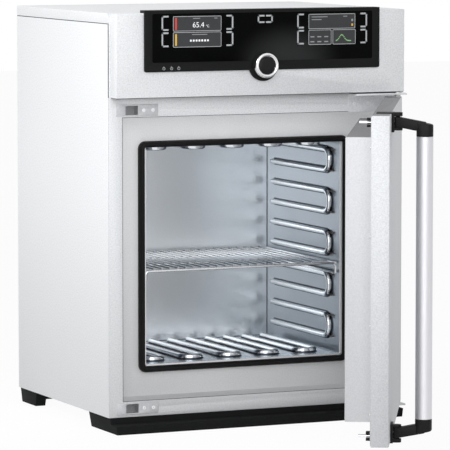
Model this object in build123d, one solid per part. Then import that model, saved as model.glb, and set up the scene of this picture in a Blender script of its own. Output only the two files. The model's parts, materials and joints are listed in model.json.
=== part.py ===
from build123d import *
import math
import os

os.makedirs("parts", exist_ok=True)

# Drying oven with natural air flow, its door standing open.
# Millimetres: X to the right, Y to the back, Z up.
# The origin is on the table, under the middle of the front foot's bar.

# Housing
housing_width = 585.0
housing_depth = 480.0
housing_height = 758.0
sheet = 1.2
plinth_height = 28.0
control_height = 151.4
control_inset = 5.1
control_sheet = 1.5
frame_setback = 27.7
cover_flange = 18.4
service_tray_drop = 4.6
fold = 14.0
screw_head_radius = 3.4
screw_head_height = 2.2
screw_radius = 1.6
screw_length = 7.0
screw_play = 0.1
rear_screw_inset = 60.0

# Door recess, chamber and seal
frame_side = 28.5
frame_foot = 28.9
frame_head = 36.7
recess_depth = 55.0
ledge_side = 64.0
ledge_height = 56.5
chamber_drop = 1.9
rear_space = 67.3
chamber_sheet = 1.0
seal_width = 12.7
seal_height = 13.2
seal_overlap = 1.2
seal_corner = 14.0
seal_bevel = 3.0

# Pressed heating ridges, one hairpin loop after another on four walls
loop_pitch = 78.0
ridge_spacing = 39.0
ridge_base = 11.0
ridge_crest = 5.0
ridge_height = 9.5
bend_steps = 8
side_loop_rise = 6.0
side_loop_start = 7.0
side_loop_rear = 45.0
flat_loop_start = 36.0
flat_loop_rear = 40.0
element_width = 3.0
element_height = 4.5
element_play = 0.3

# Shelf
shelf_side_gap = 7.5
shelf_start = 9.0
shelf_rear_gap = 12.0
shelf_depth = 18.4
shelf_frame_radius = 2.5
shelf_cross_radius = 2.0
shelf_wire_radius = 1.4
shelf_wire_pitch = 16.0
shelf_gap = 0.3
weld_gap = 0.05
corner_block = 4.4

# Door
door_free_overlap = 22.0
door_hinge_overlap = 17.0
door_overlap = 27.3
door_drop = 0.3
door_front_offset = 8.0
door_gap = 3.2
door_flange_inset = 2.0
door_return = 20.0
latch_rim = 38.0
door_screw_inset = 12.0
door_screw_pitch = 152.5
plug_play_side = 12.0
plug_play_height = 11.5
pivot_inset = 7.0
open_angle = 61.0
hinge_pin_radius = 4.0
hinge_fit = 0.05
hinge_bush_radius = 5.6
hinge_bush_length = 26.0
hinge_washer_height = 3.6
hinge_end_play = 0.1
hinge_leg_thickness = 1.5
hinge_leg_reach = 88.0
hinge_leg_gap = 2.5
hinge_leg_height = 38.0
hinge_screw_inset = 22.0
hinge_screw_start = 12.0
hinge_screw_pitch = 28.0
hinge_arm_thickness = 3.2
hinge_arm_inset = 1.0

# Handle and its two latches
latch_inset = 13.8
handle_inset = 76.0
barrel_radius = 7.0
barrel_standoff = 11.5
barrel_height = 31.0
knuckle_height = 17.6
knuckle_play = 0.3
handle_pin_radius = 3.0
handle_standoff = 56.7
handle_tube_radius = 14.5
handle_tube_wall = 2.0
tube_end_gap = 25.5
arm_width = 18.0
arm_fall = 11.0
arm_wall = 3.0
arm_collar = 4.0
arm_spigot = 15.0
base_plate_thickness = 4.5
base_plate_width = 34.0
base_plate_drop = 18.0
base_leg_thickness = 1.5
base_leg_reach = 26.0
bolt_inset = 42.5
bolt_radius = 2.75
bolt_length = 22.0
hook_width = 7.0
hook_thickness = 5.0
hook_play = 0.8
hook_crank = 12.0
slot_play = 2.4
lock_angle = 12.0
guide_width = 14.0
guide_sheet = 1.0
lip_thickness = 3.75
lip_depth = 8.6
keeper_hole_offset = 3.1
keeper_hole_width = 24.5
keeper_hole_height = 16.5
keeper_margin = 17.65
keeper_length = 81.0
keeper_height = 21.0
keeper_thickness = 1.5
keeper_screw_inset = 10.0
keeper_screw_pitch = 18.0
flat_head = 0.4

# Display and knob
bezel_side = 58.2
bezel_rise = 5.0
bezel_height = 110.6
bezel_thickness = 4.0
bezel_lip = 20.0
bezel_corner = 4.0
glass_inset = 15.0
glass_drop = 1.5
glass_height = 87.2
glass_thickness = 2.0
glass_corner = 3.0
window_margin = 5.0
display_width = 96.0
display_height = 54.0
display_edge = 85.0
display_drop = 33.8
display_depth = 9.0
control_board_thickness = 1.6
control_board_drop = 12.0
knob_drop = 97.0
collar_radius = 29.0
knob_radius = 23.1
knob_bevel = 2.5
knob_face_radius = 14.3
knob_face_depth = 5.0
knob_depth = 15.5
knob_play = 2.5
encoder_size = 16.0
encoder_depth = 8.0
encoder_shaft_radius = 3.0
encoder_sleeve_radius = 4.8
encoder_bush_wall = 2.2
sleeve_overhang = 1.5

# Plinth and rear
plinth_side = 3.5
plinth_step = 12.0
plinth_bar = 8.0
plinth_leg_width = 25.0
plinth_leg_length = 133.0
rear_foot_length = 83.0
rear_foot_width = 22.0
rear_beam_start = 30.0
rear_beam_width = 15.0
rear_beam_height = 19.0
vent_side = 80.0
vent_drop = 41.5
vent_radius = 11.0
vent_wall = 1.0
vent_reach = 26.0
flap_inset = 25.0
flap_clearance = 0.5
flap_thickness = 1.2
flap_shaft_radius = 1.5
motor_size = 36.0
motor_height = 18.0
motor_saddle_width = 16.0
motor_play = 1.0
probe_side = 40.0
probe_drop = 71.5
probe_radius = 2.0
probe_length = 70.0
probe_collar = 7.0
slot_length = 90.0
slot_height = 4.0
slot_rows = 6
slot_pitch = 10.0
slot_column = 150.0
slot_drop = 108.0
inlet_side = 92.5
inlet_drop = 118.0
inlet_half_width = 14.0
inlet_half_height = 10.0
inlet_depth = 24.0
inlet_flange = 3.0
inlet_wall = 2.0
inlet_floor = 5.0
blade_spacing = 7.0
blade_offset = 3.0
blade_thickness = 2.0
blade_width = 4.0
blade_inset = 4.0

# Power board and what stands on it
board_x = 20.0
board_setback = 300.0
board_width = 200.0
board_depth = 120.0
board_thickness = 1.6
board_post = 6.0
board_post_inset = 8.0
board_post_height = 10.0
transformer_inset = 20.0
transformer_width = 55.0
transformer_depth = 50.0
transformer_height = 45.0
relay_count = 3
relay_pitch = 26.0
relay_width = 20.0
relay_depth = 28.0
relay_height = 18.0
fin_count = 6
fin_pitch = 12.0
fin_thickness = 3.0
fin_depth = 40.0
fin_height = 30.0
fin_base = 4.0

# How far a cutting shape runs past the surface that it cuts
over = 1.0

# Places that follow from the sizes above
front_y = -(frame_setback + plinth_bar) / 2
rear_y = front_y + housing_depth
half_width = housing_width / 2
inner_half = half_width - sheet
frame_y = front_y + frame_setback
control_bottom = housing_height - control_height
recess_y = frame_y + recess_depth
recess_half = half_width - frame_side
recess_bottom = plinth_height + frame_foot
recess_top = control_bottom - frame_head
recess_height = recess_top - recess_bottom
recess_centre = (recess_bottom + recess_top) / 2
wall_front = recess_y + sheet
chamber_back = rear_y - rear_space
chamber_depth = chamber_back - recess_y
chamber_half = recess_half - ledge_side
chamber_height = recess_height - 2 * ledge_height
chamber_centre = recess_centre - chamber_drop
chamber_bottom = chamber_centre - chamber_height / 2
chamber_top = chamber_centre + chamber_height / 2
side_loop_length = chamber_depth - side_loop_start - side_loop_rear
flat_loop_length = chamber_depth - flat_loop_start - flat_loop_rear
door_free_edge = -recess_half - door_free_overlap
door_hinge_edge = recess_half + door_hinge_overlap
door_centre = recess_centre - door_drop
door_top = door_centre + recess_height / 2 + door_overlap
door_bottom = door_centre - recess_height / 2 - door_overlap
door_front = front_y - door_front_offset
door_inner = frame_y - door_gap
door_back = door_inner - sheet
door_screw_x = door_free_edge + door_screw_inset
plug_half = recess_half - plug_play_side
plug_rise = recess_height / 2 - plug_play_height
plug_face = recess_y - seal_height
pivot_x = door_hinge_edge - pivot_inset
pivot_y = front_y
handle_x = door_free_edge + handle_inset
bolt_x = door_free_edge + bolt_inset
latch_rise = (door_top - door_bottom) / 2 - latch_inset
tube_half = latch_rise - tube_end_gap
barrel_y = door_front - barrel_standoff
tube_y = door_front - handle_standoff
keeper_hole_x = bolt_x - keeper_hole_offset
keeper_left = keeper_hole_x - keeper_hole_width / 2 - keeper_margin
keeper_right = keeper_left + keeper_length
hinge_leg_left = pivot_x - hinge_leg_reach
hinge_leg_right = half_width - hinge_leg_gap
tray_top = control_bottom - service_tray_drop + sheet
bezel_half = half_width - bezel_side
bezel_top = housing_height + bezel_rise
bezel_bottom = bezel_top - bezel_height
bezel_front = front_y - bezel_thickness
glass_half = bezel_half - glass_inset
glass_top = housing_height - glass_drop
glass_centre = glass_top - glass_height / 2
display_offset = glass_half - display_edge
display_centre = housing_height - display_drop
knob_z = housing_height - knob_drop
encoder_bush_radius = encoder_sleeve_radius + encoder_bush_wall
shelf_y = recess_y + shelf_start
shelf_half_width = chamber_half - shelf_side_gap
shelf_length = chamber_depth - shelf_start - shelf_rear_gap
vent_x = vent_side - chamber_half
vent_z = chamber_top - vent_drop
flap_y = rear_y - flap_inset
motor_bottom = vent_z + vent_radius + vent_wall
probe_x = probe_side - chamber_half
probe_z = chamber_top - probe_drop
inlet_x = half_width - inlet_side
inlet_z = housing_height - inlet_drop


def block(x0, x1, y0, y1, z0, z1):
    """Box between two corners."""
    middle = Pos((x0 + x1) / 2, (y0 + y1) / 2, (z0 + z1) / 2)
    return middle * Box(x1 - x0, y1 - y0, z1 - z0)


def upright(radius, x, y, z0, z1):
    """Cylinder standing on its end."""
    return Pos(x, y, (z0 + z1) / 2) * Cylinder(radius, z1 - z0)


def lying(radius, x, z, y0, y1):
    """Cylinder running from front to back."""
    return Pos(x, (y0 + y1) / 2, z) * Rot(90, 0, 0) * Cylinder(radius, y1 - y0)


def slab(width, height, centre_z, y0, y1, corner=0.0):
    """Upright plate, centred left to right, with rounded corners where a radius is given."""
    plane = Plane(origin=(0, y1, centre_z), x_dir=(1, 0, 0), z_dir=(0, -1, 0))
    if corner > 0:
        outline = RectangleRounded(width, height, corner)
    else:
        outline = Rectangle(width, height)
    return extrude(plane * outline, y1 - y0)


def rod(radius, sides, start, end):
    """Thin rod with flat sides between two points."""
    run = Vector(*end) - Vector(*start)
    return extrude(Plane(origin=start, z_dir=run) * RegularPolygon(radius, sides), run.length)


def screw(x, y, z, outward, head_height=screw_head_height):
    """Screw through a sheet's face at y, with its head towards the front (-1) or the back (1)."""
    head = rod(screw_head_radius, 8, (x, y, z), (x, y + outward * head_height, z))
    return head + rod(screw_radius, 6, (x, y, z), (x, y - outward * screw_length, z))


def screw_hole(x, y, z):
    """Hole for the shank of a screw, through every sheet near its face."""
    reach = screw_length + over
    return rod(screw_radius + screw_play, 6, (x, y - reach, z), (x, y + reach, z))


# Heating walls

def hairpin(width, turn_y, end_y):
    """Flat hairpin of one width: two legs joined by a half circle made of short steps."""
    outer = (ridge_spacing + width) / 2
    inner = (ridge_spacing - width) / 2
    angles = [math.pi * step / bend_steps for step in range(bend_steps + 1)]
    points = [(outer * math.cos(angle), turn_y - outer * math.sin(angle)) for angle in angles]
    points += [(-outer, end_y), (-inner, end_y)]
    points += [(inner * math.cos(angle), turn_y - inner * math.sin(angle)) for angle in reversed(angles)]
    points += [(inner, end_y), (outer, end_y)]
    return Polygon(*points, align=None)


def ridge_turn(start):
    """Where the bend of a ridge loop begins, measured back from the wall's front edge."""
    return start + (ridge_spacing + ridge_base) / 2


def make_ridge_loop(start, length):
    """Raised hairpin on the sheet, lying along Y, with sloping flanks and a narrower crest."""
    turn_y = ridge_turn(start)
    end_y = start + length
    foot = hairpin(ridge_base, turn_y, end_y)
    crest = Pos(0, 0, ridge_height) * hairpin(ridge_crest, turn_y, end_y - ridge_crest)
    return loft([foot, crest], ruled=True)


def leg_bars(start, length, half_thick, low, high):
    """Straight bars under both legs of a ridge loop, from the bend to just before the rear end."""
    turn_y = ridge_turn(start)
    end_y = start + length - 2 * ridge_crest
    middles = (-ridge_spacing / 2, ridge_spacing / 2)
    return [block(x - half_thick, x + half_thick, turn_y, end_y, low, high) for x in middles]


def loop_places(width, shift):
    """Centres of as many loops as fit side by side on a wall."""
    count = int(width // loop_pitch)
    first = -(count - 1) / 2 * loop_pitch + shift
    return [first + index * loop_pitch for index in range(count)]


def pressed_wall(width, start, length, shift):
    """Chamber wall with its hairpin ridges pressed up out of the sheet, hollow under their legs."""
    depth = chamber_back - wall_front
    first = start - sheet
    wall = Pos(0, depth / 2, -chamber_sheet / 2) * Box(width, depth, chamber_sheet)
    ridge = make_ridge_loop(first, length)
    hollow_half = element_width / 2 + element_play
    hollow_top = element_height - chamber_sheet + element_play
    hollows = leg_bars(first, length, hollow_half, -chamber_sheet - over, hollow_top)
    places = loop_places(width, shift)
    wall = wall.fuse(*[Pos(x, 0, 0) * ridge for x in places])
    return wall.cut(*[Pos(x, 0, 0) * hollow for x in places for hollow in hollows])


def heating_elements(width, start, length, shift):
    """Flat heating bars that lie in the hollow ridges, one under each leg."""
    half = element_width / 2
    low = -chamber_sheet
    bars = leg_bars(start - sheet, length, half, low, low + element_height)
    return Compound([Pos(x, 0, 0) * bar for x in loop_places(width, shift) for bar in bars])


wall_turns = {
    "floor": Pos(0, wall_front, chamber_bottom),
    "ceiling": Pos(0, wall_front, chamber_top) * Rot(0, 180, 0),
    "left": Pos(-chamber_half, wall_front, chamber_centre) * Rot(0, 90, 0),
    "right": Pos(chamber_half, wall_front, chamber_centre) * Rot(0, -90, 0),
}


def wall_layout(side):
    """Width of a heated wall with the start, length and sideways shift of its loops."""
    if side in ("floor", "ceiling"):
        return 2 * (chamber_half + chamber_sheet), flat_loop_start, flat_loop_length, 0
    shift = -side_loop_rise if side == "left" else side_loop_rise
    return chamber_height, side_loop_start, side_loop_length, shift


def make_wall(side):
    """One heated wall of the chamber."""
    return wall_turns[side] * pressed_wall(*wall_layout(side))


def make_heater(side):
    """The heating elements of one wall."""
    return wall_turns[side] * heating_elements(*wall_layout(side))


def round_tube(radius, y0, y1):
    """Shape of the vent pipe's size, from front to back, with flat sides."""
    return rod(radius, 24, (vent_x, y0, vent_z), (vent_x, y1, vent_z))


def make_back_wall():
    """Plain back wall with the holes of the vent pipe and the probe."""
    outer = chamber_half + chamber_sheet
    back = chamber_back + chamber_sheet
    wall = block(-outer, outer, chamber_back, back, chamber_bottom - chamber_sheet, chamber_top + chamber_sheet)
    wall -= round_tube(vent_radius + vent_wall, chamber_back - over, back + over)
    return wall - probe_hole(chamber_back - over, back + over)


# Housing pieces

def make_side_panel(side):
    """Side sheet with a fold at the back and at the bottom."""
    top = housing_height - cover_flange
    outer = side * half_width
    inner = side * inner_half
    edge = side * (inner_half - fold)
    left, right = sorted((outer, inner))
    fold_left, fold_right = sorted((inner, edge))
    back = rear_y - sheet
    panel = block(left, right, frame_y, rear_y, plinth_height, top)
    panel += block(fold_left, fold_right, back - sheet, back, plinth_height + fold, top)
    for x, z in rear_screw_places():
        panel -= screw_hole(x, rear_y, z)
    return panel


def make_top_cover():
    """Flat tray over the housing, behind the control panel."""
    bottom = housing_height - cover_flange
    cover = block(-half_width, half_width, frame_y, rear_y, bottom, housing_height)
    cover = fillet(cover.edges().filter_by(Axis.Y).group_by(Axis.Z)[-1], 2 * sheet)
    hollow = block(-inner_half, inner_half, frame_y - 1, rear_y - sheet, bottom - 1, housing_height - sheet)
    return cover - hollow


def rear_screw_places():
    """Screws that hold the rear sheet to the folds of the side panels."""
    x = inner_half - fold / 2
    low = plinth_height + rear_screw_inset
    high = housing_height - cover_flange - rear_screw_inset
    rows = (low, (low + high) / 2, high)
    return [(side * x, z) for side in (-1, 1) for z in rows]


def make_rear_panel():
    """Rear sheet with slots over the control space and holes for what passes through it."""
    top = housing_height - cover_flange
    back = rear_y - sheet
    panel = block(-inner_half, inner_half, back, rear_y, plinth_height + sheet, top)
    slot = block(-slot_length / 2, slot_length / 2, back - over, rear_y + over, -slot_height / 2, slot_height / 2)
    slot_bottom = housing_height - slot_drop
    for column in (-1, 1):
        for row in range(slot_rows):
            panel -= Pos(column * slot_column, 0, slot_bottom + row * slot_pitch) * slot
    panel -= round_tube(vent_radius + vent_wall, back - over, rear_y + over)
    panel -= Pos(inlet_x, 0, inlet_z) * block(-inlet_half_width, inlet_half_width, back - over, rear_y + over,
                                              -inlet_half_height, inlet_half_height)
    for x, z in rear_screw_places():
        panel -= screw_hole(x, rear_y, z)
    return panel


def make_bottom_panel():
    """Floor sheet of the housing with its edge turned up at the back."""
    back = rear_y - sheet
    low = plinth_height
    panel = block(-inner_half, inner_half, frame_y + sheet, rear_y, low, low + sheet)
    return panel + block(-inner_half + fold, inner_half - fold, back - sheet, back, low + sheet, low + fold)


def latch_levels():
    """Heights of the two latches."""
    return (door_centre - latch_rise, door_centre + latch_rise)


def keeper_hole(z):
    """Hole that a latch bolt enters, through the keeper and the frame behind it."""
    reach = keeper_thickness + sheet + over
    half = keeper_hole_width / 2
    rise = keeper_hole_height / 2
    return block(keeper_hole_x - half, keeper_hole_x + half, frame_y - reach, frame_y + reach, z - rise, z + rise)


def make_front_frame():
    """Front sheet, the walls of the door recess and the flange round the chamber mouth."""
    frame_height = control_bottom - plinth_height
    frame_centre = plinth_height + frame_height / 2
    recess = slab(2 * recess_half, recess_height, recess_centre, frame_y - over, recess_y)
    plate = slab(2 * inner_half, frame_height, frame_centre, frame_y, frame_y + sheet)
    tub = slab(2 * (recess_half + sheet), recess_height + 2 * sheet, recess_centre, frame_y, recess_y + sheet)
    mouth = slab(2 * chamber_half, chamber_height, chamber_centre, recess_y - over, recess_y + sheet + over)
    frame = plate + tub - recess - mouth
    for z in latch_levels():
        frame -= keeper_hole(z)
        for x in keeper_screw_places():
            frame -= screw_hole(x, frame_y, z)
    for z in hinge_screw_levels():
        for x in hinge_screw_places():
            frame -= screw_hole(x, frame_y, z)
    return frame


def make_seal():
    """Black chamber seal that the door presses on."""
    inside_width = 2 * (chamber_half - seal_overlap)
    inside_height = chamber_height - 2 * seal_overlap
    outside_width = inside_width + 2 * seal_width
    outside_height = inside_height + 2 * seal_width
    face = recess_y - seal_height
    ring = slab(outside_width, outside_height, chamber_centre, face, recess_y, seal_corner)
    ring = chamfer(ring.edges().group_by(Axis.Y)[0], seal_bevel)
    return ring - slab(inside_width, inside_height, chamber_centre, face - over, recess_y + over, seal_corner / 2)


def make_insulation(side):
    """Mineral wool between the chamber and the housing."""
    low = chamber_bottom - chamber_sheet
    high = chamber_top + chamber_sheet
    outer = chamber_half + chamber_sheet
    back = chamber_back + chamber_sheet
    top = tray_top - sheet
    if side == "left":
        return block(-inner_half, -outer, wall_front, back, low, high)
    if side == "right":
        return block(outer, inner_half, wall_front, back, low, high)
    if side == "top":
        return block(-inner_half, inner_half, wall_front, back, high, top)
    if side == "bottom":
        return block(-inner_half, inner_half, wall_front, back, plinth_height + sheet, low)
    rear_edge = inner_half - fold
    slabs = block(-rear_edge, rear_edge, back, rear_y - 2 * sheet, plinth_height + fold, top)
    slabs -= round_tube(vent_radius + vent_wall, back - over, rear_y)
    slabs -= motor_pocket()
    return slabs - probe_hole(back - over, rear_y)


def make_service_tray():
    """Sheet that carries the electronics above the insulation."""
    return block(-inner_half, inner_half, frame_y + sheet, rear_y - 2 * sheet, tray_top - sheet, tray_top)


def make_power_board():
    """Circuit board on four posts with a transformer, relays and a heat sink."""
    low = tray_top + board_post_height
    top = low + board_thickness
    half_w = board_width / 2
    half_d = board_depth / 2
    half_post = board_post / 2
    board = block(-half_w, half_w, -half_d, half_d, low, top)
    for x in (-half_w + board_post_inset, half_w - board_post_inset):
        for y in (-half_d + board_post_inset, half_d - board_post_inset):
            board += block(x - half_post, x + half_post, y - half_post, y + half_post, tray_top, low)
    left = -half_w + transformer_inset
    half_transformer = transformer_depth / 2
    board += block(left, left + transformer_width, -half_transformer, half_transformer, top,
                   top + transformer_height)
    front = board_post_inset - half_d
    for relay in range(relay_count):
        x = relay * relay_pitch
        board += block(x, x + relay_width, front, front + relay_depth, top, top + relay_height)
    back = half_d - board_post_inset
    for fin in range(fin_count):
        x = board_post_inset + fin * fin_pitch
        board += block(x, x + fin_thickness, back - fin_depth, back, top, top + fin_height)
    right = board_post_inset + (fin_count - 1) * fin_pitch + fin_thickness
    board += block(board_post_inset, right, back - fin_depth, back, top, top + fin_base)
    return Pos(board_x, front_y + board_setback, 0) * board


def make_plinth():
    """Front foot of the housing: a stepped front bar with a leg down each side."""
    side = half_width - plinth_side
    ledge_z = plinth_height - plinth_step
    back = front_y + plinth_leg_length
    bar_back = frame_y + plinth_bar
    outline = Polygon((front_y, 0), (bar_back, 0), (bar_back, plinth_height), (frame_y, plinth_height),
                      (frame_y, ledge_z), (front_y, ledge_z), align=None)
    plane = Plane(origin=(-side, 0, 0), x_dir=(0, 1, 0), z_dir=(1, 0, 0))
    plinth = extrude(plane * outline, 2 * side)
    for x0, x1 in ((-side, -side + plinth_leg_width), (side - plinth_leg_width, side)):
        plinth += block(x0, x1, bar_back, back, 0, plinth_height)
    return plinth


def make_rear_feet():
    """Rear foot: two blocks joined by a beam under the housing."""
    side = half_width - plinth_side
    front = rear_y - rear_foot_length
    beam = front + rear_beam_start
    feet = block(-side, side, beam, beam + rear_beam_width, plinth_height - rear_beam_height, plinth_height)
    for x0, x1 in ((-side, -side + rear_foot_width), (side - rear_foot_width, side)):
        feet += block(x0, x1, front, rear_y, 0, plinth_height)
    return feet


# Rear fittings

def make_inlet():
    """Inlet for a plug-in mains lead, with its three blades."""
    half_w = inlet_half_width
    half_h = inlet_half_height
    face = rear_y + inlet_flange
    inlet = block(-half_w, half_w, rear_y - inlet_depth, rear_y, -half_h, half_h)
    rim_w = half_w + inlet_flange
    rim_h = half_h + inlet_flange
    inlet += block(-rim_w, rim_w, rear_y, face, -rim_h, rim_h)
    floor_y = rear_y - inlet_depth + inlet_floor
    inlet -= block(inlet_wall - half_w, half_w - inlet_wall, floor_y, face + over, inlet_wall - half_h,
                   half_h - inlet_wall)
    for x, z in ((-blade_spacing, -blade_offset), (blade_spacing, -blade_offset), (0, blade_offset)):
        inlet += block(x - blade_thickness / 2, x + blade_thickness / 2, floor_y, face - blade_inset,
                       z - blade_width / 2, z + blade_width / 2)
    return Pos(inlet_x, 0, inlet_z) * inlet


def make_vent_pipe():
    """Exhaust pipe from the chamber to the back of the housing, with holes for the flap's shaft."""
    end = rear_y + vent_reach
    pipe = round_tube(vent_radius + vent_wall, chamber_back, end)
    pipe -= round_tube(vent_radius, chamber_back - over, end + over)
    half = vent_radius + vent_wall + over
    return pipe - rod(flap_shaft_radius + flap_clearance, 6, (vent_x, flap_y, vent_z - half),
                      (vent_x, flap_y, vent_z + half))


def make_flap():
    """Round flap on its shaft, lying along the pipe when open."""
    half = flap_thickness / 2
    disc = rod(vent_radius - flap_clearance, 24, (vent_x - half, flap_y, vent_z), (vent_x + half, flap_y, vent_z))
    low = vent_z - vent_radius - vent_wall / 2
    return disc + rod(flap_shaft_radius, 12, (vent_x, flap_y, low), (vent_x, flap_y, shaft_top()))


def shaft_top():
    """Upper end of the flap's shaft, inside the motor."""
    return motor_bottom + motor_height / 4


def make_flap_motor():
    """Small motor that sits with a saddle on the pipe and holds the end of the flap's shaft."""
    half = motor_size / 2
    saddle = motor_saddle_width / 2
    front = flap_y - half / 2
    back = flap_y + half / 2
    low = motor_bottom
    motor = block(vent_x - half, vent_x + half, front, back, low, low + motor_height)
    motor += block(vent_x - saddle, vent_x + saddle, front, back, vent_z + vent_radius / 2, low)
    motor -= round_tube(vent_radius + vent_wall, front - over, back + over)
    shaft_way = rod(flap_shaft_radius + hinge_fit, 12, (vent_x, flap_y, vent_z), (vent_x, flap_y, shaft_top() + over))
    return motor - shaft_way


def motor_pocket():
    """Space in the rear wool for the motor."""
    half = motor_size / 2 + motor_play
    return block(vent_x - half, vent_x + half, flap_y - half, rear_y, vent_z, motor_bottom + motor_height + motor_play)


def make_probe():
    """Temperature probe reaching into the chamber through the back wall, with a collar at the wall."""
    probe = rod(probe_radius, 8, (probe_x, chamber_back - probe_length, probe_z), (probe_x, rear_y - 2 * sheet, probe_z))
    collar_front = chamber_back - probe_radius
    return probe + rod(probe_collar, 8, (probe_x, collar_front, probe_z), (probe_x, chamber_back, probe_z))


def probe_hole(y0, y1):
    """Way of the probe through a wall."""
    return rod(probe_radius, 8, (probe_x, y0, probe_z), (probe_x, y1, probe_z))


# Control panel, display and knob

def knob_axis(radius, sides, y0, y1):
    """Flat-sided shape round the knob's axis."""
    return rod(radius, sides, (0, y0, knob_z), (0, y1, knob_z))


def bush_hole():
    """Hole for the knob switch's bush through the bezel and the panel."""
    return knob_axis(encoder_bush_radius, 12, bezel_front - over, front_y + control_sheet + over)


def make_control_panel():
    """Front box of the control space with the display window and the knob's hole."""
    half = half_width - control_inset
    middle = (control_bottom + housing_height) / 2
    panel = slab(2 * half, control_height, middle, front_y, frame_y)
    hollow = slab(2 * (half - control_sheet), control_height - 2 * control_sheet, middle,
                  front_y + control_sheet, frame_y + over)
    return panel - hollow - display_window(front_y + control_sheet + over) - bush_hole()


def display_window(y1):
    """Opening behind the glass, the same in the bezel and in the panel."""
    return slab(2 * (glass_half - window_margin), glass_height - 2 * window_margin, glass_centre,
                bezel_front - over, y1)


def make_bezel():
    """Display frame that folds back over the top edge and swells into the knob's collar."""
    middle = (bezel_top + bezel_bottom) / 2
    bezel = slab(2 * bezel_half, bezel_height, middle, bezel_front, front_y, bezel_corner)
    bezel += knob_axis(collar_radius, 40, bezel_front, front_y)
    lip = block(-bezel_half, bezel_half, bezel_front, front_y + bezel_lip, housing_height, bezel_top)
    corners = lip.edges().filter_by(Axis.Z).group_by(Axis.Y)[-1]
    bezel += chamfer(corners, glass_corner)
    bezel -= slab(2 * glass_half, glass_height, glass_centre, bezel_front - over, bezel_front + glass_thickness,
                  glass_corner)
    return bezel - display_window(front_y + over) - bush_hole()


def make_glass():
    """Dark pane over the displays."""
    return slab(2 * glass_half, glass_height, glass_centre, bezel_front, bezel_front + glass_thickness, glass_corner)


def make_displays():
    """Two display modules behind the pane."""
    front = bezel_front + glass_thickness
    display = block(-display_width / 2, display_width / 2, front, front + display_depth,
                    display_centre - display_height / 2, display_centre + display_height / 2)
    return Compound([Pos(side * display_offset, 0, 0) * display for side in (-1, 1)])


def make_control_board():
    """Board behind the displays, held by two angle brackets that stand on the panel's floor."""
    front = bezel_front + glass_thickness + display_depth
    back = front + control_board_thickness
    half = glass_half - window_margin - over
    low = display_centre - display_height / 2 - control_board_drop
    high = display_centre + display_height / 2
    board = block(-half, half, front, back, low, high)
    board += block(-relay_depth, relay_depth, back, back + relay_height / 2, low + control_board_drop, high)
    bar = 2 * fin_thickness
    for x in (-half + control_board_drop, half - control_board_drop):
        board += block(x - bar, x + bar, back, frame_y, low + fin_base, low + 2 * fin_base)
        board += block(x - bar, x + bar, frame_y - control_sheet, frame_y, control_bottom + control_sheet,
                       low + 2 * fin_base)
    return board


def make_encoder():
    """Knob switch with its bush through the panel."""
    back = front_y + control_sheet
    half = encoder_size / 2
    body = block(-half, half, back, back + encoder_depth, knob_z - half, knob_z + half)
    body += knob_axis(encoder_bush_radius, 12, bezel_front, back)
    return body - knob_axis(encoder_sleeve_radius + hinge_fit, 12, bezel_front - over, back + encoder_depth * 0.75)


def make_plunger():
    """Sleeve with flat sides that slides in the knob switch and can't turn in it."""
    front = bezel_front - sleeve_overhang
    back = front_y + control_sheet + encoder_depth / 4
    sleeve = knob_axis(encoder_sleeve_radius, 12, front, back)
    return sleeve - lying(encoder_shaft_radius + hinge_fit, 0, knob_z, front - over, back + over)


def make_knob_ring():
    """Bright turning ring with a bevelled edge and a bore for its shaft."""
    back = bezel_front - knob_play
    front = back - knob_depth
    ring = knob_axis(knob_radius, 40, front, back)
    ring = chamfer(ring.edges().group_by(Axis.Y)[0], knob_bevel)
    ring -= knob_axis(knob_face_radius, 40, front - over, front + knob_face_depth)
    return ring - lying(encoder_shaft_radius, 0, knob_z, front, back + over)


def make_knob_cap():
    """Disc set in the middle of the knob."""
    front = bezel_front - knob_play - knob_depth
    seat = front + knob_face_depth
    return knob_axis(knob_face_radius - element_play, 40, front + sleeve_overhang, seat)


def make_knob_shaft():
    """Shaft that turns in the sleeve and ends in the ring."""
    front = bezel_front - knob_play - knob_depth
    return lying(encoder_shaft_radius, 0, knob_z, front + knob_face_depth, front_y + control_sheet)


# Door in its closed place; it is turned open before it is written

def make_door_shell():
    """Outer door tray with folded edges, a rim for the inner tray and slots for the latches."""
    left = door_free_edge
    right = door_hinge_edge
    shell = block(left, right, door_front, door_back, door_bottom, door_top)
    shell = chamfer(shell.edges().group_by(Axis.Y)[0], sheet)
    shell -= block(left + sheet, right - sheet, door_front + sheet, door_back - sheet,
                   door_bottom + sheet, door_top - sheet)
    shell -= block(left + door_return, right - door_return, door_back - 2 * sheet, door_back + over,
                   door_bottom + latch_rim, door_top - latch_rim)
    for z in latch_levels():
        shell -= hook_slot(z)
        shell -= bolt_slot(z)
    for z in door_screw_levels():
        shell -= screw_hole(door_screw_x, door_back, z)
    return shell.cut(*bush_blanks())


def door_screw_levels():
    """Four screws spread along the free edge."""
    return [door_centre + step * door_screw_pitch for step in (-1.5, -0.5, 0.5, 1.5)]


def swing(depth):
    """Sideways travel of a latch part at this depth behind the handle's axis."""
    return depth * math.sin(math.radians(lock_angle))


def hook_slot(z):
    """Slot that the latch hook swings in, through the outer face and the base plate."""
    half = hook_width / 2
    left = handle_x - half - swing(barrel_standoff + sheet) - slot_play
    rise = hook_thickness / 2 + hook_play
    return block(left, handle_x + half + slot_play, door_front - base_plate_thickness - over,
                 door_front + sheet + over, z - rise, z + rise)


def bolt_slot(z):
    """Slot that the latch bolt swings in, through the inner faces and the guide."""
    half = bolt_radius + slot_play / 2
    left = bolt_x - bolt_radius - swing(door_inner - barrel_y) - slot_play
    return block(left, bolt_x + half, door_back - sheet - over, door_inner + guide_sheet + over, z - half, z + half)


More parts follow.
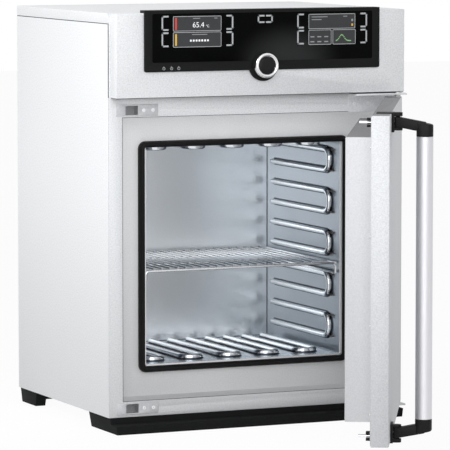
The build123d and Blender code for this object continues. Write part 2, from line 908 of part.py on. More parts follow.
def make_door_tray():
    """Inner door tray: a flange on the shell and the plug that fills the recess."""
    middle = (door_free_edge + door_hinge_edge) / 2
    width = door_hinge_edge - door_free_edge - 2 * door_flange_inset
    height = door_top - door_bottom - 2 * door_flange_inset
    flange = Pos(middle, 0, 0) * slab(width, height, door_centre, door_back, door_inner)
    plug = slab(2 * plug_half, 2 * plug_rise, door_centre, door_back, plug_face)
    plug = chamfer(plug.edges().group_by(Axis.Y)[-1], sheet)
    hollow = slab(2 * (plug_half - sheet), 2 * (plug_rise - sheet), door_centre, door_back - over, plug_face - sheet)
    tray = flange + plug - hollow
    for z in latch_levels():
        tray -= bolt_slot(z)
    for z in door_screw_levels():
        tray -= screw_hole(door_screw_x, door_inner, z)
    return tray


def make_door_wool():
    """Mineral wool that fills the plug and the middle of the shell."""
    half = plug_half - sheet
    rise = plug_rise - sheet
    return block(-half, half, door_front + sheet, plug_face - sheet, door_centre - rise, door_centre + rise)


def make_door_screws():
    """Screws that hold the inner tray at the free edge."""
    return Compound([screw(door_screw_x, door_inner, z, 1) for z in door_screw_levels()])


def bush_blanks():
    """Outer shapes of the two hinge bushes, which stand out of the door as its spacers."""
    ends = ((door_bottom - hinge_washer_height, door_bottom + hinge_bush_length),
            (door_top - hinge_bush_length, door_top + hinge_washer_height))
    return [rod(hinge_bush_radius, 12, (pivot_x, pivot_y, low), (pivot_x, pivot_y, high)) for low, high in ends]


def make_hinge_bushes():
    """Two bearing bushes in the hinge corners."""
    bore = upright(hinge_pin_radius + hinge_fit, pivot_x, pivot_y, door_bottom - door_overlap, door_top + door_overlap)
    return Compound([blank - bore for blank in bush_blanks()])


def make_latch_guides():
    """Two plastic guides, each with a lip above and below its latch bolt."""
    inner_rise = bolt_radius + slot_play / 2
    outer_rise = inner_rise + lip_thickness
    sheet_face = door_inner + guide_sheet
    left = bolt_x - bolt_radius - swing(door_inner - barrel_y) - 2 * slot_play
    right = bolt_x + bolt_radius + 2 * slot_play
    half = guide_width / 2
    guides = []
    for z in latch_levels():
        guide = block(left, right, door_inner, sheet_face, z - outer_rise, z + outer_rise)
        for z0, z1 in ((z - outer_rise, z - inner_rise), (z + inner_rise, z + outer_rise)):
            guide += block(bolt_x - over - half, bolt_x - over + half, sheet_face, door_inner + lip_depth, z0, z1)
        guides.append(guide - bolt_slot(z))
    return Compound(guides)


def lower_twin(shape, side):
    """The piece itself for the upper latch, or its mirror image for the lower one."""
    if side > 0:
        return shape
    return mirror(shape, about=Plane.XY.offset(door_centre))


def barrel(radius, z0, z1):
    """Round part of the handle's bearing between two levels."""
    return rod(radius, 20, (handle_x, barrel_y, z0), (handle_x, barrel_y, z1))


def make_base_plate(side):
    """Handle bearing: a plate on the door's face, a leg over its edge and two ears for the pin."""
    z = door_centre + latch_rise
    face = door_front - base_plate_thickness
    left = handle_x - base_plate_width / 2
    right = handle_x + base_plate_width / 2
    leg_top = door_top + base_leg_thickness
    plate = block(left, right, face, door_front, z - base_plate_drop, leg_top)
    plate += block(left, right, door_front, door_front + base_leg_reach, door_top, leg_top)
    ear_start = knuckle_height / 2 + knuckle_play
    root = face + base_plate_thickness / 2
    for ear in (-1, 1):
        z0, z1 = sorted((z + ear * ear_start, z + ear * barrel_height / 2))
        plate += block(handle_x - barrel_radius, handle_x + barrel_radius, barrel_y, root, z0, z1)
        plate += barrel(barrel_radius, z0, z1)
    plate -= upright(handle_pin_radius, handle_x, barrel_y, z - barrel_height, z + barrel_height)
    return lower_twin(plate - hook_slot(z), side)


def make_handle_pins():
    """Two pins that the handle turns on."""
    half = barrel_height / 2
    return Compound([upright(handle_pin_radius, handle_x, barrel_y, z - half, z + half) for z in latch_levels()])


# Handle, in the door's closed place

def make_arm(side):
    """Arm from the bearing out and towards the middle, ending in the socket of the tube."""
    z = door_centre + latch_rise
    end = door_centre + tube_half
    top = z + knuckle_height / 2
    bottom = z - knuckle_height / 2
    near = barrel_y - barrel_radius
    outer = tube_y - handle_tube_radius
    inner = tube_y + handle_tube_radius
    plane = Plane(origin=(handle_x, 0, 0), x_dir=(0, 1, 0), z_dir=(1, 0, 0))
    crown = Polygon((inner, end), (inner, top), (near, top), (outer, top - arm_fall), (outer, end), align=None)
    elbow = rod(handle_tube_radius, 24, (handle_x, tube_y, end), (handle_x, tube_y, top))
    elbow = elbow & extrude(plane * crown, handle_tube_radius, both=True)
    outline = Polygon((near, bottom), (barrel_y, bottom), (barrel_y, top), (near, top),
                      (tube_y, top - arm_fall / 2), (tube_y, end + arm_collar), (inner, end + arm_collar), align=None)
    beam = extrude(plane * outline, arm_width / 2, both=True)
    beam -= block(handle_x - arm_width, handle_x + arm_width, near + arm_wall, barrel_y + over, bottom - over,
                  top + over)
    arm = elbow + beam
    arm += block(handle_x - barrel_radius, handle_x + barrel_radius, near - over, barrel_y, bottom, top)
    arm += barrel(barrel_radius, bottom, top)
    arm += rod(handle_tube_radius - handle_tube_wall, 12, (handle_x, tube_y, end - arm_spigot),
               (handle_x, tube_y, end))
    arm -= upright(handle_pin_radius + hinge_fit, handle_x, barrel_y, bottom - over, top + over)
    return lower_twin(arm - make_hook(z), side)


def make_hook(z):
    """Latch hook: a cranked plate from the handle's bearing to a round bolt at the door's inner side."""
    half_width_x = hook_width / 2
    half = hook_thickness / 2
    start = barrel_y + handle_pin_radius + over
    crank = door_front + hook_crank
    hook = block(handle_x - half_width_x, handle_x + half_width_x, start, crank + hook_width, z - half, z + half)
    hook += block(bolt_x - bolt_radius, handle_x + half_width_x, crank, crank + hook_width, z - half, z + half)
    bolt = rod(bolt_radius, 12, (bolt_x, crank + half_width_x, z), (bolt_x, door_inner + bolt_length, z))
    return hook + chamfer(bolt.edges().group_by(Axis.Y)[-1], over)


def make_hooks():
    """The two latch hooks."""
    return Compound([make_hook(z) for z in latch_levels()])


def make_handle_tube():
    """Tube that the hand holds."""
    low = door_centre - tube_half
    high = door_centre + tube_half
    tube = upright(handle_tube_radius, handle_x, tube_y, low, high)
    return tube - upright(handle_tube_radius - handle_tube_wall, handle_x, tube_y, low - over, high + over)


# Keepers and hinge brackets on the front frame

def keeper_screw_places():
    """Two screws that hold each keeper, both beside its hole."""
    first = keeper_right - keeper_screw_inset
    return (first, first - keeper_screw_pitch)


def hinge_screw_places():
    """Screws of each hinge bracket."""
    first = hinge_leg_left + hinge_screw_start
    return (first, first + hinge_screw_pitch)


def hinge_screw_levels():
    """Heights of the bracket screws, above the lower arm and below the upper one."""
    return (plinth_height + hinge_screw_inset, control_bottom - hinge_screw_inset)


def make_keepers():
    """Two keeper plates that the latch bolts catch behind."""
    keepers = []
    for z in latch_levels():
        keeper = block(keeper_left, keeper_right, frame_y - keeper_thickness, frame_y,
                       z - keeper_height / 2, z + keeper_height / 2)
        keeper -= keeper_hole(z)
        for x in keeper_screw_places():
            keeper -= screw_hole(x, frame_y, z)
        keepers.append(keeper)
    return Compound(keepers)


def make_frame_screws():
    """Flat screws of the keepers and the hinge brackets."""
    places = [(x, z) for z in latch_levels() for x in keeper_screw_places()]
    places += [(x, z) for z in hinge_screw_levels() for x in hinge_screw_places()]
    return Compound([screw(x, frame_y - keeper_thickness, z, -1, flat_head) for x, z in places])


def make_hinge_bracket(side):
    """Hinge bracket: a leg on the frame, an arm over or under the door and the pin it turns on."""
    reach = hinge_washer_height + hinge_end_play
    if side > 0:
        arm_low = door_top + reach
        arm_high = arm_low + hinge_arm_thickness
        leg_low, leg_high = control_bottom - hinge_leg_height, arm_high
        pin_low, pin_high = door_top - hinge_bush_length, arm_high
        screw_z = hinge_screw_levels()[1]
    else:
        arm_high = door_bottom - reach
        arm_low = arm_high - hinge_arm_thickness
        leg_low, leg_high = arm_low, plinth_height + hinge_leg_height
        pin_low, pin_high = arm_low, door_bottom + hinge_bush_length
        screw_z = hinge_screw_levels()[0]
    leg_front = frame_y - hinge_leg_thickness
    bracket = block(hinge_leg_left, hinge_leg_right, leg_front, frame_y, leg_low, leg_high)
    bracket += block(hinge_leg_left, hinge_leg_right, door_front + hinge_arm_inset, frame_y, arm_low, arm_high)
    bracket += upright(hinge_pin_radius, pivot_x, pivot_y, pin_low, pin_high)
    for x in hinge_screw_places():
        bracket -= screw_hole(x, frame_y, screw_z)
    return bracket


# Shelf

def make_shelf():
    """Wire shelf: a rod frame with fine wires on top, standing on two side rods."""
    x = shelf_half_width
    y0 = shelf_y
    y1 = shelf_y + shelf_length
    low = shelf_rod_height()
    z = low + shelf_depth
    rods = [rod(shelf_frame_radius, 6, (-x, y, z), (x, y, z)) for y in (y0, y1)]
    for side in (-1, 1):
        rods.append(rod(shelf_frame_radius, 6, (side * x, y0, z), (side * x, y1, z)))
        rods.append(rod(shelf_frame_radius, 6, (side * x, y0, low), (side * x, y1, low)))
        rods += [rod(shelf_frame_radius, 6, (side * x, y, low), (side * x, y, z)) for y in (y0, y1)]
    for y in (y0 + shelf_length / 3, y0 + 2 * shelf_length / 3):
        rods.append(rod(shelf_cross_radius, 6, (-x, y, z), (x, y, z)))
    for corner_x in (-x, x):
        for corner_y in (y0, y1):
            rods += [Pos(corner_x, corner_y, level) * Box(corner_block, corner_block, corner_block)
                     for level in (z, low)]
    frame = rods[0].fuse(*rods[1:])
    wire_z = z + shelf_frame_radius + weld_gap + shelf_wire_radius
    places = wire_places(x - shelf_frame_radius)
    return Compound([frame] + [rod(shelf_wire_radius, 4, (wire, y0, wire_z), (wire, y1, wire_z)) for wire in places])


def wire_places(reach):
    """Places of as many wires as fit between the side rods."""
    count = int(2 * reach // shelf_wire_pitch)
    first = -(count - 1) / 2 * shelf_wire_pitch
    return [first + index * shelf_wire_pitch for index in range(count)]


def shelf_rod_height():
    """Level at which the side rods lie on the flank of the ridge below them."""
    places = loop_places(chamber_height, side_loop_rise)
    ridge_z = chamber_centre + places[len(places) // 2 - 1] + ridge_spacing / 2
    lean = (ridge_base - ridge_crest) / 2 / ridge_height
    flank = ridge_base / 2 - lean * shelf_side_gap
    return ridge_z + flank + (shelf_frame_radius + shelf_gap) * math.sqrt(1 + lean * lean)


# Write every piece

def turn_door(shape):
    """Swing a piece of the door from its closed place to where it stands open in the model."""
    axis = Axis((pivot_x, pivot_y, 0), (0, 0, 1))
    return shape.rotate(axis, open_angle)


pieces = {
    "left_side_panel": make_side_panel(-1),
    "right_side_panel": make_side_panel(1),
    "top_cover": make_top_cover(),
    "rear_panel": make_rear_panel(),
    "rear_panel_screws": Compound([screw(x, rear_y, z, 1) for x, z in rear_screw_places()]),
    "bottom_panel": make_bottom_panel(),
    "front_frame": make_front_frame(),
    "chamber_seal": make_seal(),
    "chamber_back_wall": make_back_wall(),
    "service_tray": make_service_tray(),
    "power_board": make_power_board(),
    "front_plinth": make_plinth(),
    "rear_feet": make_rear_feet(),
    "power_inlet": make_inlet(),
    "vent_pipe": make_vent_pipe(),
    "vent_flap": make_flap(),
    "flap_motor": make_flap_motor(),
    "temperature_probe": make_probe(),
    "control_panel": make_control_panel(),
    "display_bezel": make_bezel(),
    "display_glass": make_glass(),
    "display_modules": make_displays(),
    "control_board": make_control_board(),
    "encoder_housing": make_encoder(),
    "encoder_plunger": make_plunger(),
    "knob_ring": make_knob_ring(),
    "knob_cap": make_knob_cap(),
    "knob_shaft": make_knob_shaft(),
    "latch_keepers": make_keepers(),
    "frame_screws": make_frame_screws(),
    "upper_hinge_bracket": make_hinge_bracket(1),
    "lower_hinge_bracket": make_hinge_bracket(-1),
    "shelf_grid": make_shelf(),
}
for wall_side in ("left", "right", "floor", "ceiling"):
    pieces["chamber_" + wall_side] = make_wall(wall_side)
    pieces["heater_" + wall_side] = make_heater(wall_side)
for wool_side in ("left", "right", "top", "bottom", "rear"):
    pieces["insulation_" + wool_side] = make_insulation(wool_side)

door_pieces = {
    "door_outer_shell": make_door_shell(),
    "door_inner_tray": make_door_tray(),
    "door_insulation": make_door_wool(),
    "door_tray_screws": make_door_screws(),
    "door_hinge_bushes": make_hinge_bushes(),
    "latch_guides": make_latch_guides(),
    "upper_handle_base": make_base_plate(1),
    "lower_handle_base": make_base_plate(-1),
    "handle_pins": make_handle_pins(),
    "handle_tube": make_handle_tube(),
    "upper_handle_arm": make_arm(1),
    "lower_handle_arm": make_arm(-1),
    "latch_hooks": make_hooks(),
}
for name, shape in door_pieces.items():
    pieces[name] = turn_door(shape)

for name, shape in pieces.items():
    export_step(shape, "parts/" + name + ".step")
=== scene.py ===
"""Looks of a laboratory paraffin oven, its door standing open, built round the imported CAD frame.

Every place is in the frame's own axes: X to the right, Y to the back, Z up, in metres.
"""

import json
import logging
import math
from dataclasses import dataclass
from enum import Enum
from typing import Callable, Iterable, Optional, Sequence

import bmesh
import bpy
from mathutils import Matrix, Vector

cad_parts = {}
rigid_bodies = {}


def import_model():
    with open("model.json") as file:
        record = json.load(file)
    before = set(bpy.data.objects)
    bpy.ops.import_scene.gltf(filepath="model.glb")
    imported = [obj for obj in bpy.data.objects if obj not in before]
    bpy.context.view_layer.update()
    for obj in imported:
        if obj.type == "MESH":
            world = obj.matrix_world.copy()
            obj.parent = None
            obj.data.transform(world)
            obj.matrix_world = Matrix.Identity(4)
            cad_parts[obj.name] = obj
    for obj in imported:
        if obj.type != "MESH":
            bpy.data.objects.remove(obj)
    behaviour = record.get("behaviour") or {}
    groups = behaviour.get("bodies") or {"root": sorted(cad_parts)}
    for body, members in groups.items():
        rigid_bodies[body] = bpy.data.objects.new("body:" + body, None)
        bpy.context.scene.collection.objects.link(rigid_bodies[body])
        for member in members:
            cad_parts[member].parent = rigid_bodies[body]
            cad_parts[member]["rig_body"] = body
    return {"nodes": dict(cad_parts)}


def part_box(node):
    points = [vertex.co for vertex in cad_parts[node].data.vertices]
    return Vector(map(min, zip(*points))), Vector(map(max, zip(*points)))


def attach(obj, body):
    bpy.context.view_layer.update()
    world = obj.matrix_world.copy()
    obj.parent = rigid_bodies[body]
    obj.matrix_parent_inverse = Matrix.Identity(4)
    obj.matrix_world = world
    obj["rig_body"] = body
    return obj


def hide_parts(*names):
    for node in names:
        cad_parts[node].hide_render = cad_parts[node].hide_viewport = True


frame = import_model()

LOG = logging.getLogger("paraffin_oven")
MM = 0.001
MERGE = 0.01 * MM
FINE_MERGE = 0.001 * MM
Colour = tuple[float, float, float]
Span = tuple[float, float]


class Side(Enum):
    """The four heated walls of the chamber."""

    LEFT = "left"
    RIGHT = "right"
    FLOOR = "floor"
    CEILING = "ceiling"


class Role(Enum):
    """How metallic a surface is."""

    METAL = 1.0
    SATIN = 0.5
    PLAIN = 0.0


# Node groups that several finishes share


def group_socket(tree: bpy.types.NodeTree, name: str, way: str, kind: str, value: float = 0.0) -> None:
    """Add one named socket to a node group.

    Args:
        tree: The node group.
        name: The socket's name.
        way: INPUT or OUTPUT.
        kind: The socket's type, such as NodeSocketFloat.
        value: The default of a float input.
    """
    socket = tree.interface.new_socket(name=name, in_out=way, socket_type=kind)
    if way == "INPUT" and kind == "NodeSocketFloat":
        socket.default_value = value


def make_grain_group() -> bpy.types.NodeTree:
    """Fine grain of a surface, stretched along an axis where the sheet is brushed.

    Returns:
        A group that puts out a mask for colour and roughness and a height for bump.
    """
    tree = bpy.data.node_groups.new("surface_grain", "ShaderNodeTree")
    group_socket(tree, "Vector", "INPUT", "NodeSocketVector")
    group_socket(tree, "Stretch", "INPUT", "NodeSocketVector")
    group_socket(tree, "Scale", "INPUT", "NodeSocketFloat", 900.0)
    group_socket(tree, "Contrast", "INPUT", "NodeSocketFloat", 0.5)
    group_socket(tree, "Mask", "OUTPUT", "NodeSocketFloat")
    group_socket(tree, "Height", "OUTPUT", "NodeSocketFloat")
    ends = tree.nodes.new("NodeGroupInput"), tree.nodes.new("NodeGroupOutput")
    stretched = tree.nodes.new("ShaderNodeVectorMath")
    stretched.operation = "MULTIPLY"
    noise = tree.nodes.new("ShaderNodeTexNoise")
    noise.inputs["Detail"].default_value = 3.0
    noise.inputs["Roughness"].default_value = 0.6
    spread = tree.nodes.new("ShaderNodeMapRange")
    spread.inputs["From Min"].default_value = 0.3
    spread.inputs["From Max"].default_value = 0.7
    power = tree.nodes.new("ShaderNodeMath")
    power.operation = "POWER"
    tree.links.new(ends[0].outputs["Vector"], stretched.inputs[0])
    tree.links.new(ends[0].outputs["Stretch"], stretched.inputs[1])
    tree.links.new(stretched.outputs[0], noise.inputs["Vector"])
    tree.links.new(ends[0].outputs["Scale"], noise.inputs["Scale"])
    tree.links.new(noise.outputs["Fac"], spread.inputs["Value"])
    tree.links.new(spread.outputs[0], power.inputs[0])
    tree.links.new(ends[0].outputs["Contrast"], power.inputs[1])
    tree.links.new(power.outputs[0], ends[1].inputs["Mask"])
    tree.links.new(noise.outputs["Fac"], ends[1].inputs["Height"])
    return tree


def make_handling_group() -> bpy.types.NodeTree:
    """Broad soft marks that wiping and handling leave on a sheet.

    Returns:
        A group that puts out a mask.
    """
    tree = bpy.data.node_groups.new("handling_marks", "ShaderNodeTree")
    group_socket(tree, "Vector", "INPUT", "NodeSocketVector")
    group_socket(tree, "Scale", "INPUT", "NodeSocketFloat", 6.0)
    group_socket(tree, "Amount", "INPUT", "NodeSocketFloat", 0.2)
    group_socket(tree, "Mask", "OUTPUT", "NodeSocketFloat")
    ends = tree.nodes.new("NodeGroupInput"), tree.nodes.new("NodeGroupOutput")
    noise = tree.nodes.new("ShaderNodeTexNoise")
    noise.inputs["Detail"].default_value = 4.0
    noise.inputs["Distortion"].default_value = 0.6
    spread = tree.nodes.new("ShaderNodeMapRange")
    spread.interpolation_type = "SMOOTHSTEP"
    spread.inputs["From Min"].default_value = 0.42
    spread.inputs["From Max"].default_value = 0.72
    amount = tree.nodes.new("ShaderNodeMath")
    amount.operation = "MULTIPLY"
    tree.links.new(ends[0].outputs["Vector"], noise.inputs["Vector"])
    tree.links.new(ends[0].outputs["Scale"], noise.inputs["Scale"])
    tree.links.new(noise.outputs["Fac"], spread.inputs["Value"])
    tree.links.new(spread.outputs[0], amount.inputs[0])
    tree.links.new(ends[0].outputs["Amount"], amount.inputs[1])
    tree.links.new(amount.outputs[0], ends[1].inputs["Mask"])
    return tree


GRAIN = make_grain_group()
HANDLING = make_handling_group()


@dataclass(frozen=True)
class Finish:
    """One surface finish, with its grain and handling marks.

    Attributes:
        name: The material's name.
        base: Colour of the surface.
        second: Colour that the grain turns it towards.
        role: How metallic it is.
        roughness: Roughness in the grain's low and high places.
        grain_scale: Grains per metre, about.
        stretch: How much the grain is drawn out along each axis, 1 for none and less for longer.
        contrast: Above 1 the second colour is rarer.
        bump: Strength of the grain's relief.
        relief: Depth of the grain's relief in metres.
        marks: Strength of the handling marks.
        mark_scale: Marks per metre, about.
        specular: Specular level of a surface that is no metal.
        painted_foot_shade: How much the lower part is darkened, a painted shade towards the floor.
    """

    name: str
    base: Colour
    second: Colour
    role: Role
    roughness: tuple[float, float]
    grain_scale: float = 900.0
    stretch: Colour = (1.0, 1.0, 1.0)
    contrast: float = 1.0
    bump: float = 0.1
    relief: float = 0.1 * MM
    marks: float = 0.15
    mark_scale: float = 5.0
    specular: float = 0.5
    painted_foot_shade: float = 0.0

    def shade_towards_foot(self, tree: bpy.types.NodeTree, place: bpy.types.Node,
               colour: bpy.types.NodeSocket) -> bpy.types.NodeSocket:
        """Darken a colour towards the object's foot, a painted shade.

        Args:
            tree: The material's nodes.
            place: The texture coordinates.
            colour: The colour to darken.

        Returns:
            The colour with painted shade towards the foot.
        """
        split = tree.nodes.new("ShaderNodeSeparateXYZ")
        tree.links.new(place.outputs["Object"], split.inputs[0])
        fall = tree.nodes.new("ShaderNodeMapRange")
        fall.interpolation_type = "SMOOTHSTEP"
        fall.inputs["From Min"].default_value = 500.0 * MM
        fall.inputs["From Max"].default_value = -50.0 * MM
        fall.inputs["To Max"].default_value = self.painted_foot_shade
        tree.links.new(split.outputs["Z"], fall.inputs["Value"])
        mix = tree.nodes.new("ShaderNodeMix")
        mix.data_type = "RGBA"
        mix.inputs["B"].default_value = (*(0.35 * part for part in self.base), 1.0)
        tree.links.new(fall.outputs[0], mix.inputs["Factor"])
        tree.links.new(colour, mix.inputs["A"])
        return mix.outputs["Result"]

    def build(self) -> bpy.types.Material:
        """Make the material.

        Returns:
            The node material of this finish.
        """
        material = bpy.data.materials.new(self.name)
        material.use_nodes = True
        material.diffuse_color = (*self.base, 1.0)
        nodes, links = material.node_tree.nodes, material.node_tree.links
        shader = nodes["Principled BSDF"]
        place = nodes.new("ShaderNodeTexCoord")
        grain = nodes.new("ShaderNodeGroup")
        grain.node_tree = GRAIN
        grain.inputs["Stretch"].default_value = self.stretch
        grain.inputs["Scale"].default_value = self.grain_scale
        grain.inputs["Contrast"].default_value = self.contrast
        links.new(place.outputs["Object"], grain.inputs["Vector"])
        marks = nodes.new("ShaderNodeGroup")
        marks.node_tree = HANDLING
        marks.inputs["Scale"].default_value = self.mark_scale
        marks.inputs["Amount"].default_value = self.marks
        links.new(place.outputs["Object"], marks.inputs["Vector"])
        colour = nodes.new("ShaderNodeMix")
        colour.data_type = "RGBA"
        colour.inputs["A"].default_value = (*self.base, 1.0)
        colour.inputs["B"].default_value = (*self.second, 1.0)
        links.new(grain.outputs["Mask"], colour.inputs["Factor"])
        shown = colour.outputs["Result"]
        # Painted shade: fade darkens the colour towards the foot.
        if self.painted_foot_shade > 0:
            shown = self.shade_towards_foot(material.node_tree, place, shown)
        links.new(shown, shader.inputs["Base Color"])
        rough = nodes.new("ShaderNodeMapRange")
        rough.inputs["To Min"].default_value = self.roughness[0]
        rough.inputs["To Max"].default_value = self.roughness[1]
        links.new(grain.outputs["Mask"], rough.inputs["Value"])
        worn = nodes.new("ShaderNodeMath")
        worn.operation = "ADD"
        worn.use_clamp = True
        links.new(rough.outputs[0], worn.inputs[0])
        links.new(marks.outputs["Mask"], worn.inputs[1])
        links.new(worn.outputs[0], shader.inputs["Roughness"])
        bump = nodes.new("ShaderNodeBump")
        bump.inputs["Strength"].default_value = self.bump
        bump.inputs["Distance"].default_value = self.relief
        links.new(grain.outputs["Height"], bump.inputs["Height"])
        links.new(bump.outputs["Normal"], shader.inputs["Normal"])
        shader.inputs["Metallic"].default_value = self.role.value
        shader.inputs["Specular IOR Level"].default_value = self.specular
        return material


@dataclass(frozen=True)
class Glow:
    """A lit mark on a display, with a faint pixel grid.

    Attributes:
        name: The material's name.
        colour: Colour of the lit mark.
        strength: Strength of its light.
    """

    name: str
    colour: Colour
    strength: float = 0.6

    def build(self) -> bpy.types.Material:
        """Make the material.

        Returns:
            The node material of this lit mark.
        """
        material = bpy.data.materials.new(self.name)
        material.use_nodes = True
        nodes, links = material.node_tree.nodes, material.node_tree.links
        shader = nodes["Principled BSDF"]
        place = nodes.new("ShaderNodeTexCoord")
        grain = nodes.new("ShaderNodeGroup")
        grain.node_tree = GRAIN
        grain.inputs["Stretch"].default_value = (1.0, 1.0, 1.0)
        grain.inputs["Scale"].default_value = 2500.0
        grain.inputs["Contrast"].default_value = 1.0
        links.new(place.outputs["Object"], grain.inputs["Vector"])
        tint = nodes.new("ShaderNodeMix")
        tint.data_type = "RGBA"
        tint.inputs["A"].default_value = (*self.colour, 1.0)
        tint.inputs["B"].default_value = (*(0.8 * part for part in self.colour), 1.0)
        links.new(grain.outputs["Mask"], tint.inputs["Factor"])
        links.new(tint.outputs["Result"], shader.inputs["Base Color"])
        links.new(tint.outputs["Result"], shader.inputs["Emission Color"])
        shader.inputs["Emission Strength"].default_value = self.strength
        shader.inputs["Roughness"].default_value = 0.3
        return material


class Finishes:
    """Every finish of the oven, made once."""

    def __init__(self) -> None:
        """Build the materials."""
        metal, satin, plain = Role.METAL, Role.SATIN, Role.PLAIN
        outer: dict[str, float] = {"grain_scale": 400.0, "contrast": 1.1, "bump": 0.3, "relief": 0.16 * MM,
                                   "marks": 0.05, "specular": 0.3}
        inner: dict[str, float] = {"grain_scale": 420.0, "contrast": 1.1, "bump": 0.12, "relief": 0.1 * MM,
                                   "marks": 0.05}
        # fade paints shade on the lower part of the sheets that have it.
        self.shell = Finish("textured_stainless_sheet", (0.89, 0.90, 0.91), (0.75, 0.76, 0.775), satin,
                            (0.6, 0.72), painted_foot_shade=0.3, **outer).build()
        # The door's sheet is a darker copy of the outer sheet: painted shade.
        self.door = Finish("door_sheet_painted_shade", (0.76, 0.77, 0.785), (0.64, 0.65, 0.67), satin,
                           (0.6, 0.72), painted_foot_shade=0.3, **outer).build()
        # A lighter copy of the outer sheet for the door recess: painted light, with painted shade towards its
        # foot.
        self.recess = Finish("recess_sheet_painted_light", (1.0, 1.0, 1.0), (0.92, 0.925, 0.935), satin,
                             (0.6, 0.72), painted_foot_shade=0.45, **outer).build()
        self.edge = Finish("bright_mouth_edge", (0.96, 0.965, 0.97), (0.9, 0.905, 0.91), satin, (0.4, 0.5),
                           500.0, bump=0.05, marks=0.03).build()
        self.chamber = Finish("satin_chamber_sheet", (0.86, 0.91, 0.965), (0.77, 0.825, 0.885), metal,
                              (0.25, 0.33), **inner).build()
        # A lighter copy of the chamber's steel for the back wall: painted light, with painted shade towards its
        # foot.
        self.back = Finish("back_wall_painted_light", (0.955, 0.985, 1.0), (0.90, 0.94, 0.975), metal, (0.28, 0.31),
                           420.0, contrast=0.7, bump=0.07, relief=0.06 * MM, marks=0.04, painted_foot_shade=0.5).build()
        # A darker copy of the chamber's steel for the side walls and ceiling: painted shade.
        self.shade = Finish("chamber_side_painted_shade", (0.47, 0.51, 0.555), (0.40, 0.44, 0.485), metal,
                            (0.27, 0.36), **inner).build()
        self.tray = Finish("textured_door_tray", (0.64, 0.645, 0.66), (0.57, 0.575, 0.59), satin, (0.5, 0.62),
                           420.0, contrast=1.1, bump=0.25, relief=0.14 * MM, marks=0.05, specular=0.3).build()
        self.fold = Finish("shaded_upper_fold", (0.30, 0.30, 0.31), (0.25, 0.25, 0.26), satin, (0.5, 0.62),
                           420.0, bump=0.2, marks=0.05, specular=0.2).build()
        self.ridge = Finish("bright_pressed_ridge", (0.80, 0.83, 0.86), (0.72, 0.75, 0.79), metal,
                            (0.08, 0.15), 500.0, bump=0.03, relief=0.08 * MM, marks=0.03).build()
        self.flank = Finish("shaded_ridge_foot", (0.075, 0.085, 0.10), (0.05, 0.058, 0.07), metal,
                            (0.3, 0.42), 500.0, bump=0.05, marks=0.05).build()
        self.bright = Finish("bright_folded_sheet", (0.80, 0.81, 0.82), (0.72, 0.73, 0.74), metal,
                             (0.24, 0.34), 700.0, (1.0, 1.0, 0.08), bump=0.08, marks=0.08).build()
        self.zinc = Finish("zinc_coated_sheet", (0.56, 0.58, 0.60), (0.42, 0.44, 0.47), metal, (0.35, 0.52),
                           90.0, contrast=1.4, bump=0.06, relief=0.2 * MM, marks=0.1).build()
        self.screw = Finish("plated_screw_steel", (0.72, 0.72, 0.73), (0.6, 0.6, 0.61), metal, (0.22, 0.32),
                            1500.0, marks=0.1, mark_scale=60.0).build()
        self.wire = Finish("polished_shelf_wire", (0.86, 0.87, 0.89), (0.78, 0.79, 0.81), metal, (0.10, 0.18),
                           1500.0, marks=0.05, mark_scale=40.0).build()
        self.heater = Finish("oxidised_heating_bar", (0.24, 0.22, 0.21), (0.15, 0.13, 0.12), metal,
                             (0.5, 0.7), 600.0, marks=0.1).build()
        # Painted shade: dark strips set in the gaps between sheets, under the control panel and at the recess's
        # edge.
        self.seam = Finish("joint_painted_shade", (0.06, 0.062, 0.066), (0.04, 0.042, 0.045), plain, (0.6, 0.75),
                           800.0, bump=0.05, marks=0.05, specular=0.1).build()
        self.rubber = Finish("black_silicone_seal", (0.007, 0.007, 0.0075), (0.011, 0.011, 0.0115), plain,
                             (0.45, 0.58), 1400.0, bump=0.15, marks=0.1, specular=0.12).build()
        self.charcoal = Finish("charcoal_moulded_foot", (0.0075, 0.0078, 0.008), (0.014, 0.0145, 0.015),
                               plain, (0.6, 0.75), 700.0, contrast=0.8, bump=0.4, relief=0.2 * MM, marks=0.08,
                               specular=0.07).build()
        self.black = Finish("black_moulded_handle", (0.0065, 0.0065, 0.007), (0.011, 0.011, 0.0115), plain,
                            (0.42, 0.55), 1200.0, bump=0.3, relief=0.1 * MM, marks=0.08, mark_scale=25.0,
                            specular=0.16).build()
        self.bezel = Finish("dark_grey_bezel", (0.0095, 0.0097, 0.0097), (0.014, 0.0143, 0.0143), plain,
                            (0.35, 0.45), 1400.0, bump=0.2, relief=0.06 * MM, marks=0.06, mark_scale=12.0,
                            specular=0.09).build()
        self.glass = Finish("black_display_pane", (0.0016, 0.0018, 0.0018), (0.0022, 0.0024, 0.0024), plain,
                            (0.16, 0.2), 60.0, bump=0.0, marks=0.03, mark_scale=14.0, specular=0.03).build()
